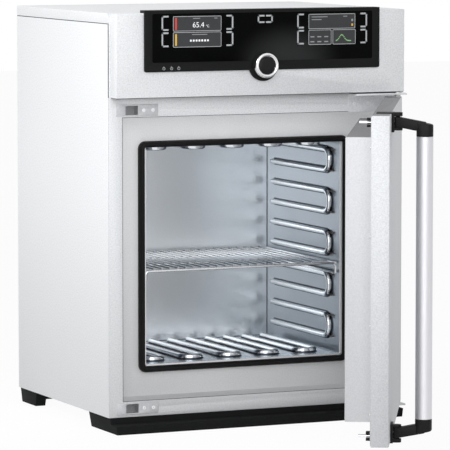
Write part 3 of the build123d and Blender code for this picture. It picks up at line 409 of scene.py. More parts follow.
        # The pane gets a painted reflection: a lighter spot in its colour.
        self.paint_sheen(self.glass)
        self.chrome = Finish("satin_chrome_ring", (0.84, 0.84, 0.85), (0.74, 0.74, 0.75), metal, (0.10, 0.17),
                             1500.0, marks=0.05, mark_scale=50.0).build()
        self.cap = Finish("black_knob_face", (0.012, 0.012, 0.013), (0.018, 0.018, 0.019), plain,
                          (0.25, 0.35), 1800.0, bump=0.1, marks=0.08, mark_scale=50.0, specular=0.14).build()
        self.tube = Finish("satin_anodised_tube", (0.73, 0.73, 0.755), (0.65, 0.65, 0.675), metal,
                           (0.42, 0.5), 1300.0, (1.0, 1.0, 0.03), bump=0.12, marks=0.06, mark_scale=8.0).build()
        self.board = Finish("coated_circuit_board", (0.02, 0.12, 0.06), (0.05, 0.2, 0.1), plain, (0.3, 0.45),
                            220.0, bump=0.1, marks=0.1).build()
        self.wool = Finish("mineral_wool_board", (0.62, 0.54, 0.34), (0.42, 0.35, 0.2), plain, (0.85, 0.98),
                           350.0, (1.0, 1.0, 0.3), bump=0.9, relief=MM, marks=0.0, specular=0.1).build()
        self.pale = Finish("pale_nylon_bush", (0.72, 0.71, 0.68), (0.62, 0.61, 0.58), plain, (0.4, 0.5),
                           1200.0, marks=0.1).build()
        self.tile = Finish("dark_display_field", (0.075, 0.076, 0.077), (0.062, 0.063, 0.064), plain,
                           (0.35, 0.42), 700.0, bump=0.02, marks=0.02, specular=0.08).build()
        self.key = Finish("silver_key_print", (0.62, 0.64, 0.65), (0.52, 0.54, 0.55), plain, (0.4, 0.5),
                          900.0, bump=0.02, marks=0.02, specular=0.2).build()
        self.white_light = Glow("lit_white_figures", (0.85, 0.88, 0.9), 0.5).build()
        self.grey_light = Glow("lit_grey_lines", (0.32, 0.34, 0.35), 0.25).build()
        self.red_light = Glow("lit_red_bar", (0.6, 0.05, 0.04), 0.4).build()
        self.amber_light = Glow("lit_amber_mark", (0.7, 0.42, 0.06), 0.4).build()
        self.green_light = Glow("lit_green_curve", (0.25, 0.5, 0.22), 0.4).build()

    def paint_sheen(self, material: bpy.types.Material) -> None:
        """Paint a soft grey sheen into the pane's colour below its middle, a painted reflection.

        Args:
            material: The pane's material.
        """
        nodes, links = material.node_tree.nodes, material.node_tree.links
        place = nodes.new("ShaderNodeTexCoord")
        skew = nodes.new("ShaderNodeMapping")
        middle_x, middle_z, flatter = 50.0 * MM, 672.0 * MM, 1.6
        skew.inputs["Location"].default_value = (-middle_x, 0.0, -middle_z * flatter)
        skew.inputs["Scale"].default_value = (1.0, 0.0, flatter)
        links.new(place.outputs["Object"], skew.inputs["Vector"])
        reach = nodes.new("ShaderNodeVectorMath")
        reach.operation = "LENGTH"
        links.new(skew.outputs[0], reach.inputs[0])
        fall = nodes.new("ShaderNodeMapRange")
        fall.interpolation_type = "SMOOTHSTEP"
        fall.inputs["From Min"].default_value = 115.0 * MM
        fall.inputs["From Max"].default_value = 20.0 * MM
        links.new(reach.outputs["Value"], fall.inputs["Value"])
        mix = nodes.new("ShaderNodeMix")
        mix.data_type = "RGBA"
        # Colour of the painted reflection.
        mix.inputs["B"].default_value = (0.036, 0.037, 0.037, 1.0)
        shader = nodes["Principled BSDF"]
        links.new(fall.outputs[0], mix.inputs["Factor"])
        links.new(shader.inputs["Base Color"].links[0].from_socket, mix.inputs["A"])
        links.new(mix.outputs["Result"], shader.inputs["Base Color"])


class Workshop:
    """Turns a bmesh into a piece of the oven, and softens the edges of CAD nodes."""

    def __init__(self) -> None:
        """Start with no pieces."""
        self.count = 0

    def piece(self, name: str, shape: bmesh.types.BMesh, materials: Sequence[bpy.types.Material], body: str,
              replaces: Iterable[str] = (), smooth: float = 35.0) -> bpy.types.Object:
        """Make an object of a finished shape and put it on its body.

        Args:
            name: The piece's name.
            shape: Its mesh in the frame's axes; it is freed here.
            materials: Its finishes, in the order of the faces' material numbers.
            body: The CAD body that it rides on.
            replaces: CAD nodes that it stands for.
            smooth: Edges flatter than this many degrees are shaded smooth.

        Returns:
            The new object.
        """
        mesh = bpy.data.meshes.new(name)
        shape.to_mesh(mesh)
        shape.free()
        for material in materials:
            mesh.materials.append(material)
        mesh.shade_smooth()
        mesh.set_sharp_from_angle(angle=math.radians(smooth))
        item = bpy.data.objects.new(name, mesh)
        bpy.context.scene.collection.objects.link(item)
        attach(item, body)
        if replaces:
            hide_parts(*replaces)
        self.count += 1
        LOG.info("%s on %s, %d faces", name, body, len(mesh.polygons))
        return item

    def soften(self, node: str, material: bpy.types.Material, width: float, segments: int = 2,
               sharp: float = 28.0, adjust: Optional[Callable[[bmesh.types.BMesh], None]] = None,
               shaded: Optional[bpy.types.Material] = None) -> bpy.types.Object:
        """Replace a CAD node by a merged copy of it with rounded edges.

        Args:
            node: The CAD node.
            material: Its finish.
            width: Width of the rounding in metres.
            segments: Steps in the rounding.
            sharp: Edges bent more than this many degrees are rounded.
            adjust: A change of the merged copy before its edges are rounded.
            shaded: Finish of the faces that look straight up.

        Returns:
            The new object.
        """
        shape = bmesh.new()
        shape.from_mesh(frame["nodes"][node].data)
        bmesh.ops.remove_doubles(shape, verts=shape.verts, dist=MERGE)
        bmesh.ops.dissolve_limit(shape, angle_limit=math.radians(0.6), verts=shape.verts, edges=shape.edges)
        if adjust:
            adjust(shape)
        limit = math.radians(sharp)
        edges = [edge for edge in shape.edges
                 if len(edge.link_faces) == 2 and edge.calc_face_angle(0.0) > limit]
        bmesh.ops.bevel(shape, geom=edges, offset=width, offset_type="OFFSET", segments=segments, profile=0.5,
                        affect="EDGES", clamp_overlap=True, material=-1)
        shape.normal_update()
        for face in shape.faces:
            face.material_index = 1 if shaded and face.normal.z > 0.9 else 0
        body = frame["nodes"][node]["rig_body"]
        finishes = [material, shaded] if shaded else [material]
        return self.piece(node + "_softened", shape, finishes, body, [node])

    def dress(self, node: str, material: bpy.types.Material) -> None:
        """Give a CAD node that keeps its own shape its finish.

        Args:
            node: The CAD node.
            material: Its finish.
        """
        item = frame["nodes"][node]
        item.data.materials.clear()
        item.data.materials.append(material)
        LOG.info("%s dressed", node)


# Shapes that several sub-assemblies use


def add_box(shape: bmesh.types.BMesh, low: Sequence[float], high: Sequence[float],
            material: int = 0) -> list[bmesh.types.BMVert]:
    """Add a box between two corners.

    Args:
        shape: The mesh it goes into.
        low: Lowest corner.
        high: Highest corner.
        material: Material number of its faces.

    Returns:
        Its vertices.
    """
    size = [high[axis] - low[axis] for axis in range(3)]
    middle = [(high[axis] + low[axis]) / 2 for axis in range(3)]
    matrix = Matrix.Translation(middle) @ Matrix.Diagonal((*size, 1.0))
    made = bmesh.ops.create_cube(shape, size=1.0, matrix=matrix)["verts"]
    for face in {face for vert in made for face in vert.link_faces}:
        face.material_index = material
    return made


def add_rod(shape: bmesh.types.BMesh, start: Sequence[float], end: Sequence[float], radius: float,
            sides: int = 12, bevel: float = 0.0) -> None:
    """Add a straight round rod.

    Args:
        shape: The mesh it goes into.
        start: Centre of its first end.
        end: Centre of its last end.
        radius: Its radius.
        sides: Its sides.
        bevel: Rounding of its ends.
    """
    run = Vector(end) - Vector(start)
    turn = run.to_track_quat("Z", "Y").to_matrix().to_4x4()
    matrix = Matrix.Translation((Vector(start) + Vector(end)) / 2) @ turn
    made = bmesh.ops.create_cone(shape, cap_ends=True, segments=sides, radius1=radius, radius2=radius,
                                 depth=run.length, matrix=matrix)["verts"]
    if bevel > 0:
        faces = {face for vert in made for face in vert.link_faces}
        rims = {edge for face in faces if len(face.verts) == sides for edge in face.edges}
        bmesh.ops.bevel(shape, geom=list(rims), offset=bevel, offset_type="OFFSET", segments=2, profile=0.5,
                        affect="EDGES", material=-1)


def only_verts(items: Iterable) -> list[bmesh.types.BMVert]:
    """Pick the vertices out of what an operator made."""
    return [item for item in items if isinstance(item, bmesh.types.BMVert)]


def only_edges(items: Iterable) -> list[bmesh.types.BMEdge]:
    """Pick the edges out of what an operator made."""
    return [item for item in items if isinstance(item, bmesh.types.BMEdge)]


def close_ends(shape: bmesh.types.BMesh, before: set[bmesh.types.BMFace]) -> list[bmesh.types.BMFace]:
    """Fill the open ends of the newest faces and turn all of them outwards.

    Args:
        shape: The mesh.
        before: The faces that are older.

    Returns:
        The newest faces, with those of their ends.
    """
    faces = [face for face in shape.faces if face not in before]
    rim = [edge for edge in {edge for face in faces for edge in face.edges} if len(edge.link_faces) == 1]
    bmesh.ops.holes_fill(shape, edges=rim, sides=0)
    faces = [face for face in shape.faces if face not in before]
    bmesh.ops.recalc_face_normals(shape, faces=faces)
    return faces


def spin_profile(shape: bmesh.types.BMesh, points: Sequence[Span], matrix: Matrix, steps: int = 40) -> None:
    """Turn a profile round the local Z axis into a closed round piece.

    Args:
        shape: The mesh it goes into.
        points: Radius and height of each point of the profile.
        matrix: Place of the local axes.
        steps: Steps of the turn.
    """
    verts = [shape.verts.new((radius, 0.0, height)) for radius, height in points]
    edges = [shape.edges.new(pair) for pair in zip(verts, verts[1:])]
    before = set(shape.faces)
    bmesh.ops.spin(shape, geom=verts + edges, cent=(0, 0, 0), axis=(0, 0, 1), dvec=(0, 0, 0), angle=math.tau,
                   steps=steps, use_merge=True, use_duplicate=False)
    faces = [face for face in shape.faces if face not in before]
    turned = list({vert for face in faces for vert in face.verts})
    bmesh.ops.remove_doubles(shape, verts=turned, dist=FINE_MERGE)
    faces = [face for face in shape.faces if face not in before]
    bmesh.ops.recalc_face_normals(shape, faces=faces)
    turned = list({vert for face in faces for vert in face.verts})
    bmesh.ops.transform(shape, matrix=matrix, verts=turned)


def add_plate(shape: bmesh.types.BMesh, x: Span, z: Span, front: float, depth: float, corner: float = 0.0,
              material: int = 0) -> None:
    """Add an upright plate that faces the front, with rounded corners.

    Args:
        shape: The mesh it goes into.
        x: Left and right edge.
        z: Lower and upper edge.
        front: Y of its front face.
        depth: Its thickness.
        corner: Radius of its corners.
        material: Material number of its faces.
    """
    made = add_box(shape, (x[0], front, z[0]), (x[1], front + depth, z[1]), material)
    if corner > 0:
        faces = {face for vert in made for face in vert.link_faces}
        edges = [edge for edge in {edge for face in faces for edge in face.edges}
                 if abs(edge.verts[0].co.y - edge.verts[1].co.y) > depth / 2]
        bmesh.ops.bevel(shape, geom=edges, offset=corner, offset_type="OFFSET", segments=4, profile=0.5,
                        affect="EDGES", material=-1)


@dataclass
class ScrewRow:
    """Screws with domed heads and a cross recess, which stand for one CAD node of screws.

    Attributes:
        node: The CAD node.
        places: Centre of each screw's seat.
        outward: Direction of the heads.
        radius: Radius of a head.
        height: Height of a head.
        shank: Radius of a shank.
        depth: Length of a shank.
    """

    node: str
    places: list[Vector]
    outward: Vector
    radius: float = 3.4 * MM
    height: float = 2.2 * MM
    shank: float = 1.6 * MM
    depth: float = 6.0 * MM

    def build(self, shop: Workshop, steel: bpy.types.Material, recess: bpy.types.Material) -> None:
        """Make the screws.

        Args:
            shop: The workshop.
            steel: Finish of the screws.
            recess: Finish of the recess.
        """
        shape = bmesh.new()
        turn = self.outward.to_track_quat("Z", "Y").to_matrix().to_4x4()
        top, radius = self.height, self.radius
        profile = [(0.0, -self.depth), (self.shank, -self.depth), (self.shank, 0.0), (radius, 0.0),
                   (radius, top * 0.45), (radius * 0.82, top * 0.85), (radius * 0.45, top), (0.0, top)]
        for place in self.places:
            matrix = Matrix.Translation(place) @ turn
            spin_profile(shape, profile, matrix, steps=16)
            for turned in (0.0, math.pi / 2):
                bar = add_box(shape, (-radius * 0.55, -0.35 * MM, top * 0.7),
                              (radius * 0.55, 0.35 * MM, top + 0.02 * MM), 1)
                bmesh.ops.transform(shape, matrix=matrix @ Matrix.Rotation(turned + 0.4, 4, "Z"), verts=bar)
        body = frame["nodes"][self.node]["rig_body"]
        shop.piece(self.node + "_with_recess", shape, [steel, recess], body, [self.node])


def solid_boxes(node: str) -> list[tuple[Vector, Vector]]:
    """Find the separate solids of a CAD node.

    Args:
        node: The CAD node.

    Returns:
        Lowest and highest corner of each solid.
    """
    shape = bmesh.new()
    shape.from_mesh(frame["nodes"][node].data)
    bmesh.ops.remove_doubles(shape, verts=shape.verts, dist=MERGE)
    left = set(shape.verts)
    boxes = []
    while left:
        stack = [left.pop()]
        found = []
        while stack:
            vert = stack.pop()
            found.append(vert.co.copy())
            for edge in vert.link_edges:
                other = edge.other_vert(vert)
                if other in left:
                    left.discard(other)
                    stack.append(other)
        low = Vector([min(point[axis] for point in found) for axis in range(3)])
        high = Vector([max(point[axis] for point in found) for axis in range(3)])
        boxes.append((low, high))
    shape.free()
    return sorted(boxes, key=lambda pair: tuple(pair[0]))


@dataclass
class Housing:
    """Outer sheets, front frame, feet, seal, latch keepers and hinge brackets.

    Attributes:
        sheet_edge: Rounding of a sheet's edge.
        panel_edge: Rounding of the control panel's folds.
        moulded_edge: Rounding of the feet.
        side: Outer face of a side sheet, from the middle.
        top_gap: Gap between a side sheet and the top cover.
        plinth_draws: Stretches of the plinth's foot line that are drawn in: axis, start, end and move, in
            millimetres.
        feet_draws: The same of the rear feet.
        pin: Place of the hinge pins in plan.
        seal_width: Width of the seal's bead.
        seal_corner: Radius of the seal's inner corners.
        seal_drop: How much flatter than the CAD seal the bead is.
        joint: Width of the painted shadow line round the door recess.
        recess_half: Half of the recess's width.
        recess_levels: Levels of the recess's lower and upper edge.
        keeper: Middle of the keepers' holes from left to right.
        pocket: Half of a keeper pocket's width and height.
        pocket_depth: Front and rear of a keeper's pocket.
    """

    sheet_edge: float = 0.4 * MM
    panel_edge: float = 0.6 * MM
    moulded_edge: float = 0.9 * MM
    side: float = 292.5 * MM
    top_gap: float = 1.3 * MM
    plinth_draws: tuple = ((0, 270, 400, -2), (0, -400, -270, 2), (1, 100, 500, -8))
    feet_draws: tuple = ((0, 280, 400, -2), (0, -400, -280, 2), (1, 0, 400, 9), (1, 450, 500, -3))
    pin: Span = (274.0 * MM, -17.85 * MM)
    seal_width: float = 11.6 * MM
    seal_corner: float = 2.5 * MM
    seal_drop: float = 0.5 * MM
    joint: float = 0.9 * MM
    recess_half: float = 264.0 * MM
    recess_levels: Span = (56.9 * MM, 569.9 * MM)
    keeper: float = -246.6 * MM
    pocket: Span = (17.0 * MM, 13.0 * MM)
    pocket_depth: Span = (12.0 * MM, 40.0 * MM)

    def build(self, shop: Workshop, finishes: Finishes) -> None:
        """Build the housing's pieces.

        Args:
            shop: The workshop.
            finishes: The finishes.
        """
        for node in ("left_side_panel", "right_side_panel"):
            shop.soften(node, finishes.shell, self.sheet_edge, adjust=self.lower_top)
        shop.soften("top_cover", finishes.shell, self.sheet_edge)
        item = shop.soften("front_frame", finishes.shell, self.sheet_edge)
        # The recess's faces take the lighter copy of the sheet, painted light.
        item.data.materials.append(finishes.recess)
        for face in item.data.polygons:
            face.material_index = 1 if face.center.y > self.pocket_depth[0] else 0
        shop.soften("control_panel", finishes.shell, self.panel_edge)
        shop.soften("front_plinth", finishes.charcoal, self.moulded_edge, 3, adjust=self.taper_plinth)
        shop.soften("rear_feet", finishes.charcoal, self.moulded_edge, 3, adjust=self.taper_feet)
        self.panel_folds(shop, finishes)
        self.sheet_joints(shop, finishes)
        self.seal(shop, finishes)
        self.recess_joint(shop, finishes)
        self.pockets(shop, finishes)
        shop.soften("latch_keepers", finishes.tray, self.sheet_edge)
        for node in ("upper_hinge_bracket", "lower_hinge_bracket"):
            shop.soften(node, finishes.shell, self.sheet_edge)
        for node in ("bottom_panel", "service_tray"):
            shop.dress(node, finishes.zinc)
        self.frame_screws(shop, finishes)
        self.pin_heads(shop, finishes)

    def pin_heads(self, shop: Workshop, finishes: Finishes) -> None:
        """Build the domed heads of the two hinge pins, outside their brackets.

        Args:
            shop: The workshop.
            finishes: The finishes.
        """
        shape = bmesh.new()
        profile = [(0.0, -1.0 * MM), (4.6 * MM, -1.0 * MM), (4.6 * MM, 0.7 * MM), (3.9 * MM, 1.6 * MM),
                   (2.2 * MM, 2.1 * MM), (0.0, 2.2 * MM)]
        upper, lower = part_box("upper_hinge_bracket")[1].z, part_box("lower_hinge_bracket")[0].z
        for level, turned in ((upper, 0.0), (lower, math.pi)):
            place = Matrix.Translation((*self.pin, level)) @ Matrix.Rotation(turned, 4, "X")
            spin_profile(shape, profile, place, steps=24)
        shop.piece("hinge_pin_heads", shape, [finishes.screw], "cabinet")

    def lower_top(self, shape: bmesh.types.BMesh) -> None:
        """Leave a fine gap between a side sheet and the top cover.

        Args:
            shape: The piece's mesh.
        """
        edge = max(vert.co.z for vert in shape.verts) - 1.1 * MM
        upper = [vert for vert in shape.verts if vert.co.z > edge]
        bmesh.ops.translate(shape, verts=upper, vec=(0, 0, -self.top_gap))

    def draw_in(self, shape: bmesh.types.BMesh, draws: tuple) -> None:
        """Move stretches of a foot's outline at the floor.

        Args:
            shape: The foot's mesh.
            draws: Axis, start, end and move in millimetres of each stretch.
        """
        for axis, start, end, move in draws:
            moved = [vert for vert in shape.verts
                     if vert.co.z < MM and start * MM < vert.co[axis] < end * MM]
            run = [0.0, 0.0, 0.0]
            run[axis] = move * MM
            bmesh.ops.translate(shape, verts=moved, vec=run)

    def taper_plinth(self, shape: bmesh.types.BMesh) -> None:
        """Draw the front foot's lower outline in at its ends."""
        self.draw_in(shape, self.plinth_draws)

    def taper_feet(self, shape: bmesh.types.BMesh) -> None:
        """Draw the rear feet's lower outline in on every side."""
        self.draw_in(shape, self.feet_draws)

    def panel_folds(self, shop: Workshop, finishes: Finishes) -> None:
        """Build the folds that close the gap between the control panel and the side sheets.

        Args:
            shop: The workshop.
            finishes: The finishes.
        """
        shape = bmesh.new()
        low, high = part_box("control_panel")
        for side in (-1, 1):
            ends = sorted((side * (self.side - 0.1 * MM), side * (high.x - self.panel_edge)))
            add_box(shape, (ends[0], high.y - 0.2 * MM, low.z), (ends[1], high.y + 0.9 * MM, high.z))
        shop.piece("control_panel_side_folds", shape, [finishes.shell], "cabinet")

    def sheet_joints(self, shop: Workshop, finishes: Finishes) -> None:
        """Build dark strips, painted shade, in the gaps where the side sheets meet the top cover and the
        control panel, and under the panel.

        Args:
            shop: The workshop.
            finishes: The finishes.
        """
        shape = bmesh.new()
        low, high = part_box("control_panel")
        front, back = 9.9 * MM, 461.5 * MM
        under, over = 738.0 * MM, 739.9 * MM
        for side in (-1, 1):
            ends = sorted((side * (self.side - 0.3 * MM), side * (self.side - 1.5 * MM)))
            add_box(shape, (ends[0], front, under), (ends[1], back, over))
            ends = sorted((side * (self.side - 0.05 * MM), side * (self.side - 1.4 * MM)))
            add_box(shape, (ends[0], high.y - 0.5 * MM, low.z), (ends[1], high.y, over - 0.3 * MM))
        # The strip under the control panel is its painted shadow.
        add_box(shape, (low.x + MM, low.y + MM, low.z - MM), (high.x - MM, high.y, low.z - 0.05 * MM))
        shop.piece("sheet_joint_painted_shade", shape, [finishes.seam], "cabinet")

    def seal(self, shop: Workshop, finishes: Finishes) -> None:
        """Build the seal as a rounded bead swept round the chamber's mouth.

        Args:
            shop: The workshop.
            finishes: The finishes.
        """
        low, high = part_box("chamber_seal")
        inner, radius, depth = self.seal_width, self.seal_corner, high.y - low.y - self.seal_drop
        half, level = high.x - inner, (low.z + high.z) / 2
        rise = (high.z - low.z) / 2 - inner
        section = [(0.0, 0.0), (0.0, 0.3), (0.06, 0.55), (0.17, 0.78), (0.32, 0.93), (0.5, 1.0), (0.68, 0.93),
                   (0.83, 0.78), (0.94, 0.55), (1.0, 0.3), (1.0, 0.0)]
        shape = bmesh.new()
        verts = [shape.verts.new((-half - across * inner, high.y - out * depth, level - rise + radius))
                 for across, out in section]
        edges = [shape.edges.new(pair) for pair in zip(verts, verts[1:] + verts[:1])]
        runs = ((0, 0, 2 * (rise - radius)), (2 * (half - radius), 0, 0), (0, 0, -2 * (rise - radius)),
                (-2 * (half - radius), 0, 0))
        centres = ((-1, 1), (1, 1), (1, -1), (-1, -1))
        for run, (across, up) in zip(runs, centres):
            made = bmesh.ops.extrude_edge_only(shape, edges=edges)["geom"]
            ring, edges = only_verts(made), only_edges(made)
            bmesh.ops.translate(shape, verts=ring, vec=run)
            centre = (across * (half - radius), 0.0, level + up * (rise - radius))
            made = bmesh.ops.spin(shape, geom=ring + edges, cent=centre, axis=(0, 1, 0), dvec=(0, 0, 0),
                                  angle=math.pi / 2, steps=8, use_duplicate=False)["geom_last"]
            edges = only_edges(made)
        bmesh.ops.remove_doubles(shape, verts=shape.verts, dist=MERGE)
        bmesh.ops.recalc_face_normals(shape, faces=shape.faces)
        shop.piece("rounded_chamber_seal", shape, [finishes.rubber], "cabinet",
                   ["chamber_seal"], smooth=60.0)

    def recess_joint(self, shop: Workshop, finishes: Finishes) -> None:
        """Build a dark line where the door recess meets the front frame's face: a painted shadow of its edge.

        Args:
            shop: The workshop.
            finishes: The finishes.
        """
        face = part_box("front_frame")[0].y - 0.05 * MM
        half, line = self.recess_half, self.joint
        low, high = self.recess_levels
        shape = bmesh.new()
        for x, z in (((-half - line, -half), (low - line, high + line)),
                     ((half, half + line), (low - line, high + line)),
                     ((-half, half), (low - line, low)), ((-half, half), (high, high + line))):
            add_box(shape, (x[0], face, z[0]), (x[1], face + 0.1 * MM, z[1]))
        shop.piece("recess_edge_painted_shadow", shape, [finishes.seam], "cabinet")

    def pockets(self, shop: Workshop, finishes: Finishes) -> None:
        """Build the bright pockets behind the keepers' holes.

        Args:
            shop: The workshop.
            finishes: The finishes.
        """
        shape = bmesh.new()
        across, rise = self.pocket
        front, rear = self.pocket_depth
        for low, high in solid_boxes("latch_keepers"):
            level = (low.z + high.z) / 2
            walls = add_box(shape, (self.keeper - across, front, level - rise),
                            (self.keeper + across, rear, level + rise))
            faces = {face for vert in walls for face in vert.link_faces}
            shape.normal_update()
            opened = [face for face in faces if face.normal.y < -0.5]
            bmesh.ops.delete(shape, geom=opened, context="FACES_ONLY")
            bmesh.ops.reverse_faces(shape, faces=[face for face in faces if face.is_valid])
        shop.piece("keeper_pockets", shape, [finishes.tray], "cabinet")

    def frame_screws(self, shop: Workshop, finishes: Finishes) -> None:
        """Build the flat screws of the keepers and hinge brackets.

        Args:
            shop: The workshop.
            finishes: The finishes.
        """
        boxes = solid_boxes("frame_screws")
        height = 0.4 * MM
        seat = min(low.y for low, _ in boxes) + height
        places = [Vector(((low.x + high.x) / 2, seat, (low.z + high.z) / 2)) for low, high in boxes]
        screws = ScrewRow("frame_screws", places, Vector((0, -1, 0)), height=height)
        screws.build(shop, finishes.edge, finishes.shell)


# Each ridge loop's bend and rear end, from the wall's front edge, and the loops' shift across their wall

RIDGE_RUNS: dict[Side, Span] = {
    Side.LEFT: (34.0 * MM, 300.0 * MM),
    Side.RIGHT: (34.0 * MM, 300.0 * MM),
    Side.FLOOR: (45.0 * MM, 304.0 * MM),
    Side.CEILING: (30.0 * MM, 288.8 * MM),
}
RIDGE_SHIFTS: dict[Side, float] = {
    Side.LEFT: -6.0 * MM,
    Side.RIGHT: 6.0 * MM,
    Side.FLOOR: 0.0,
    Side.CEILING: 0.0,
}


@dataclass
class Chamber:
    """Steel chamber with its pressed ridge loops, back wall, heating bars and probe.

    Attributes:
        half: Half of the chamber's inner width.
        front: Y of the walls' front edge.
        back: Y of the back wall.
        low: Level of the floor.
        high: Level of the ceiling.
        sheet: Thickness of a wall.
        pitch: Distance from loop to loop.
        spacing: Distance between the two legs of a loop.
        loops: Loops on a wall.
        profile: Half of a ridge's section, as distance from its middle and height, in millimetres.
        nose: Length over which a leg runs out.
        foot: Height of a ridge's shaded foot.
    """

    half: float = 200.0 * MM
    front: float = 66.05 * MM
    back: float = 394.85 * MM
    low: float = 111.5 * MM
    high: float = 511.5 * MM
    sheet: float = 1.0 * MM
    pitch: float = 78.0 * MM
    spacing: float = 39.0 * MM
    loops: int = 5
    profile: tuple = ((7.3, -0.2), (7.1, 0.15), (5.5, 0.4), (5.35, 1.2), (5.1, 3.2), (4.8, 5.4), (4.2, 7.3),
                      (3.2, 8.7), (1.7, 9.4), (0.0, 9.5))
    nose: float = 8.0 * MM
    foot: float = 3.5 * MM

    def add_loop(self, shape: bmesh.types.BMesh, middle: float, start: float, end: float) -> None:
        """Add one ridge loop, lying along the wall's depth.

        Args:
            shape: The wall's mesh, in the wall's own axes.
            middle: Place of the loop's middle across the wall.
            start: Front of the loop's bend.
            end: Rear end of its legs.
        """
        before = set(shape.faces)
        half = self.spacing / 2
        section = [(-x, z) for x, z in self.profile[:-1]] + [(x, z) for x, z in reversed(self.profile)]
        turn = start + half + self.profile[0][0] * MM
        verts = [shape.verts.new((middle + half + x * MM, turn, z * MM)) for x, z in section]
        edges = [shape.edges.new(pair) for pair in zip(verts, verts[1:])]
        made = bmesh.ops.spin(shape, geom=verts + edges, cent=(middle, turn, 0), axis=(0, 0, 1),
                              dvec=(0, 0, 0), angle=-math.pi, steps=16, use_duplicate=False)["geom_last"]
        self.add_leg(shape, edges, middle + half, end - self.nose - turn)
        self.add_leg(shape, only_edges(made), middle - half, end - self.nose - turn)
        for face in close_ends(shape, before):
            low = max(vert.co.z for vert in face.verts) < self.foot
            face.material_index = 2 if low or len(face.verts) > 4 else 1

    def add_leg(self, shape: bmesh.types.BMesh, edges: list, centre: float, length: float) -> None:
        """Draw a leg of a loop back from the bend and let it run out.

        Args:
            shape: The wall's mesh.
            edges: The section at the bend.
            centre: Place of the leg's middle across the wall.
            length: Length of its straight part.
        """
        steps = [(length, 1.0)]
        reached, scale = 0.0, 1.0
        for angle in (25, 45, 65, 80, 90):
            here = self.nose * math.sin(math.radians(angle))
            now = max(math.cos(math.radians(angle)), 0.02)
            steps.append((here - reached, now / scale))
            reached, scale = here, now
        for run, ratio in steps:
            made = bmesh.ops.extrude_edge_only(shape, edges=edges)["geom"]
            verts, edges = only_verts(made), only_edges(made)
            bmesh.ops.translate(shape, verts=verts, vec=(0, run, 0))
            origin = Matrix.Translation((-centre, 0, 0))
            bmesh.ops.scale(shape, verts=verts, vec=(0.5 + 0.5 * ratio, 1.0, ratio), space=origin)

    def wall(self, side: Side, shop: Workshop, finishes: Finishes) -> None:
        """Build one heated wall.

        Args:
            side: Which wall.
            shop: The workshop.
            finishes: The finishes.
        """
        middle = (self.low + self.high) / 2
        place, turned = {
            Side.FLOOR: ((0, self.front, self.low), 0.0),
            Side.CEILING: ((0, self.front, self.high), math.pi),
            Side.LEFT: ((-self.half, self.front, middle), math.pi / 2),
            Side.RIGHT: ((self.half, self.front, middle), -math.pi / 2),
        }[side]
        flat = side in (Side.FLOOR, Side.CEILING)
        reach = self.half + (self.sheet if flat else 0.0)
        start, end = RIDGE_RUNS[side]
        shift = RIDGE_SHIFTS[side]
        shape = bmesh.new()
        add_box(shape, (-reach, 0.0, -self.sheet), (reach, self.back - self.front, 0.0))
        for index in range(self.loops):
            self.add_loop(shape, (index - (self.loops - 1) / 2) * self.pitch + shift, start, end)
        matrix = Matrix.Translation(place) @ Matrix.Rotation(turned, 4, "Y")
        bmesh.ops.transform(shape, matrix=matrix, verts=shape.verts)
        node = "chamber_" + side.value
        # The side walls and ceiling take the darker copy of the steel, painted shade; the floor keeps the plain
        # one.
        sheet = finishes.chamber if side == Side.FLOOR else finishes.shade
        shop.piece("ridged_" + side.value, shape, [sheet, finishes.ridge, finishes.flank], "cabinet",
                   [node], smooth=50.0)

    def build(self, shop: Workshop, finishes: Finishes) -> None:
        """Build the chamber's pieces.

        Args:
            shop: The workshop.
            finishes: The finishes.
        """
        for side in Side:
            self.wall(side, shop, finishes)
            shop.dress("heater_" + side.value, finishes.heater)
        # The back wall takes the lighter copy of the chamber's steel, painted light.
        shop.dress("chamber_back_wall", finishes.back)
        self.mouth(shop, finishes)
        self.probe(shop, finishes)

    def mouth(self, shop: Workshop, finishes: Finishes) -> None:
        """Build the bright folded edge round the chamber's mouth.

        Args:
            shop: The workshop.
            finishes: The finishes.
        """
        shape = bmesh.new()
        width, proud = 7.0 * MM, 0.35 * MM
        ends = (self.front, self.front + width)
        for low, high in (((-self.half, ends[0], self.low), (-self.half + proud, ends[1], self.high)),
                          ((self.half - proud, ends[0], self.low), (self.half, ends[1], self.high)),
                          ((-self.half, ends[0], self.low), (self.half, ends[1], self.low + proud)),
                          ((-self.half, ends[0], self.high - proud), (self.half, ends[1], self.high))):
            add_box(shape, low, high)
        lip, nose = (self.front - 4.0 * MM, self.front + 0.5 * MM), 2.8 * MM
        for x, z in (((-self.half, -self.half + nose), (self.low, self.high)),
                     ((self.half - nose, self.half), (self.low, self.high)),
                     ((-self.half, self.half), (self.low, self.low + nose))):
            add_box(shape, (x[0], lip[0], z[0]), (x[1], lip[1], z[1]))
        shop.piece("chamber_mouth_edge", shape, [finishes.edge], "cabinet")
        # Dark strips in the corners round the back wall: painted shade.
        shape = bmesh.new()
        width = 0.9 * MM
        for side in (-1, 1):
            ends = sorted((side * self.half, side * (self.half - width)))
            add_box(shape, (ends[0], self.back - width, self.low), (ends[1], self.back, self.high))
        for level in ((self.low, self.low + width), (self.high - width, self.high)):
            add_box(shape, (-self.half, self.back - width, level[0]), (self.half, self.back, level[1]))
        shop.piece("chamber_back_corner_shade", shape, [finishes.flank], "cabinet")

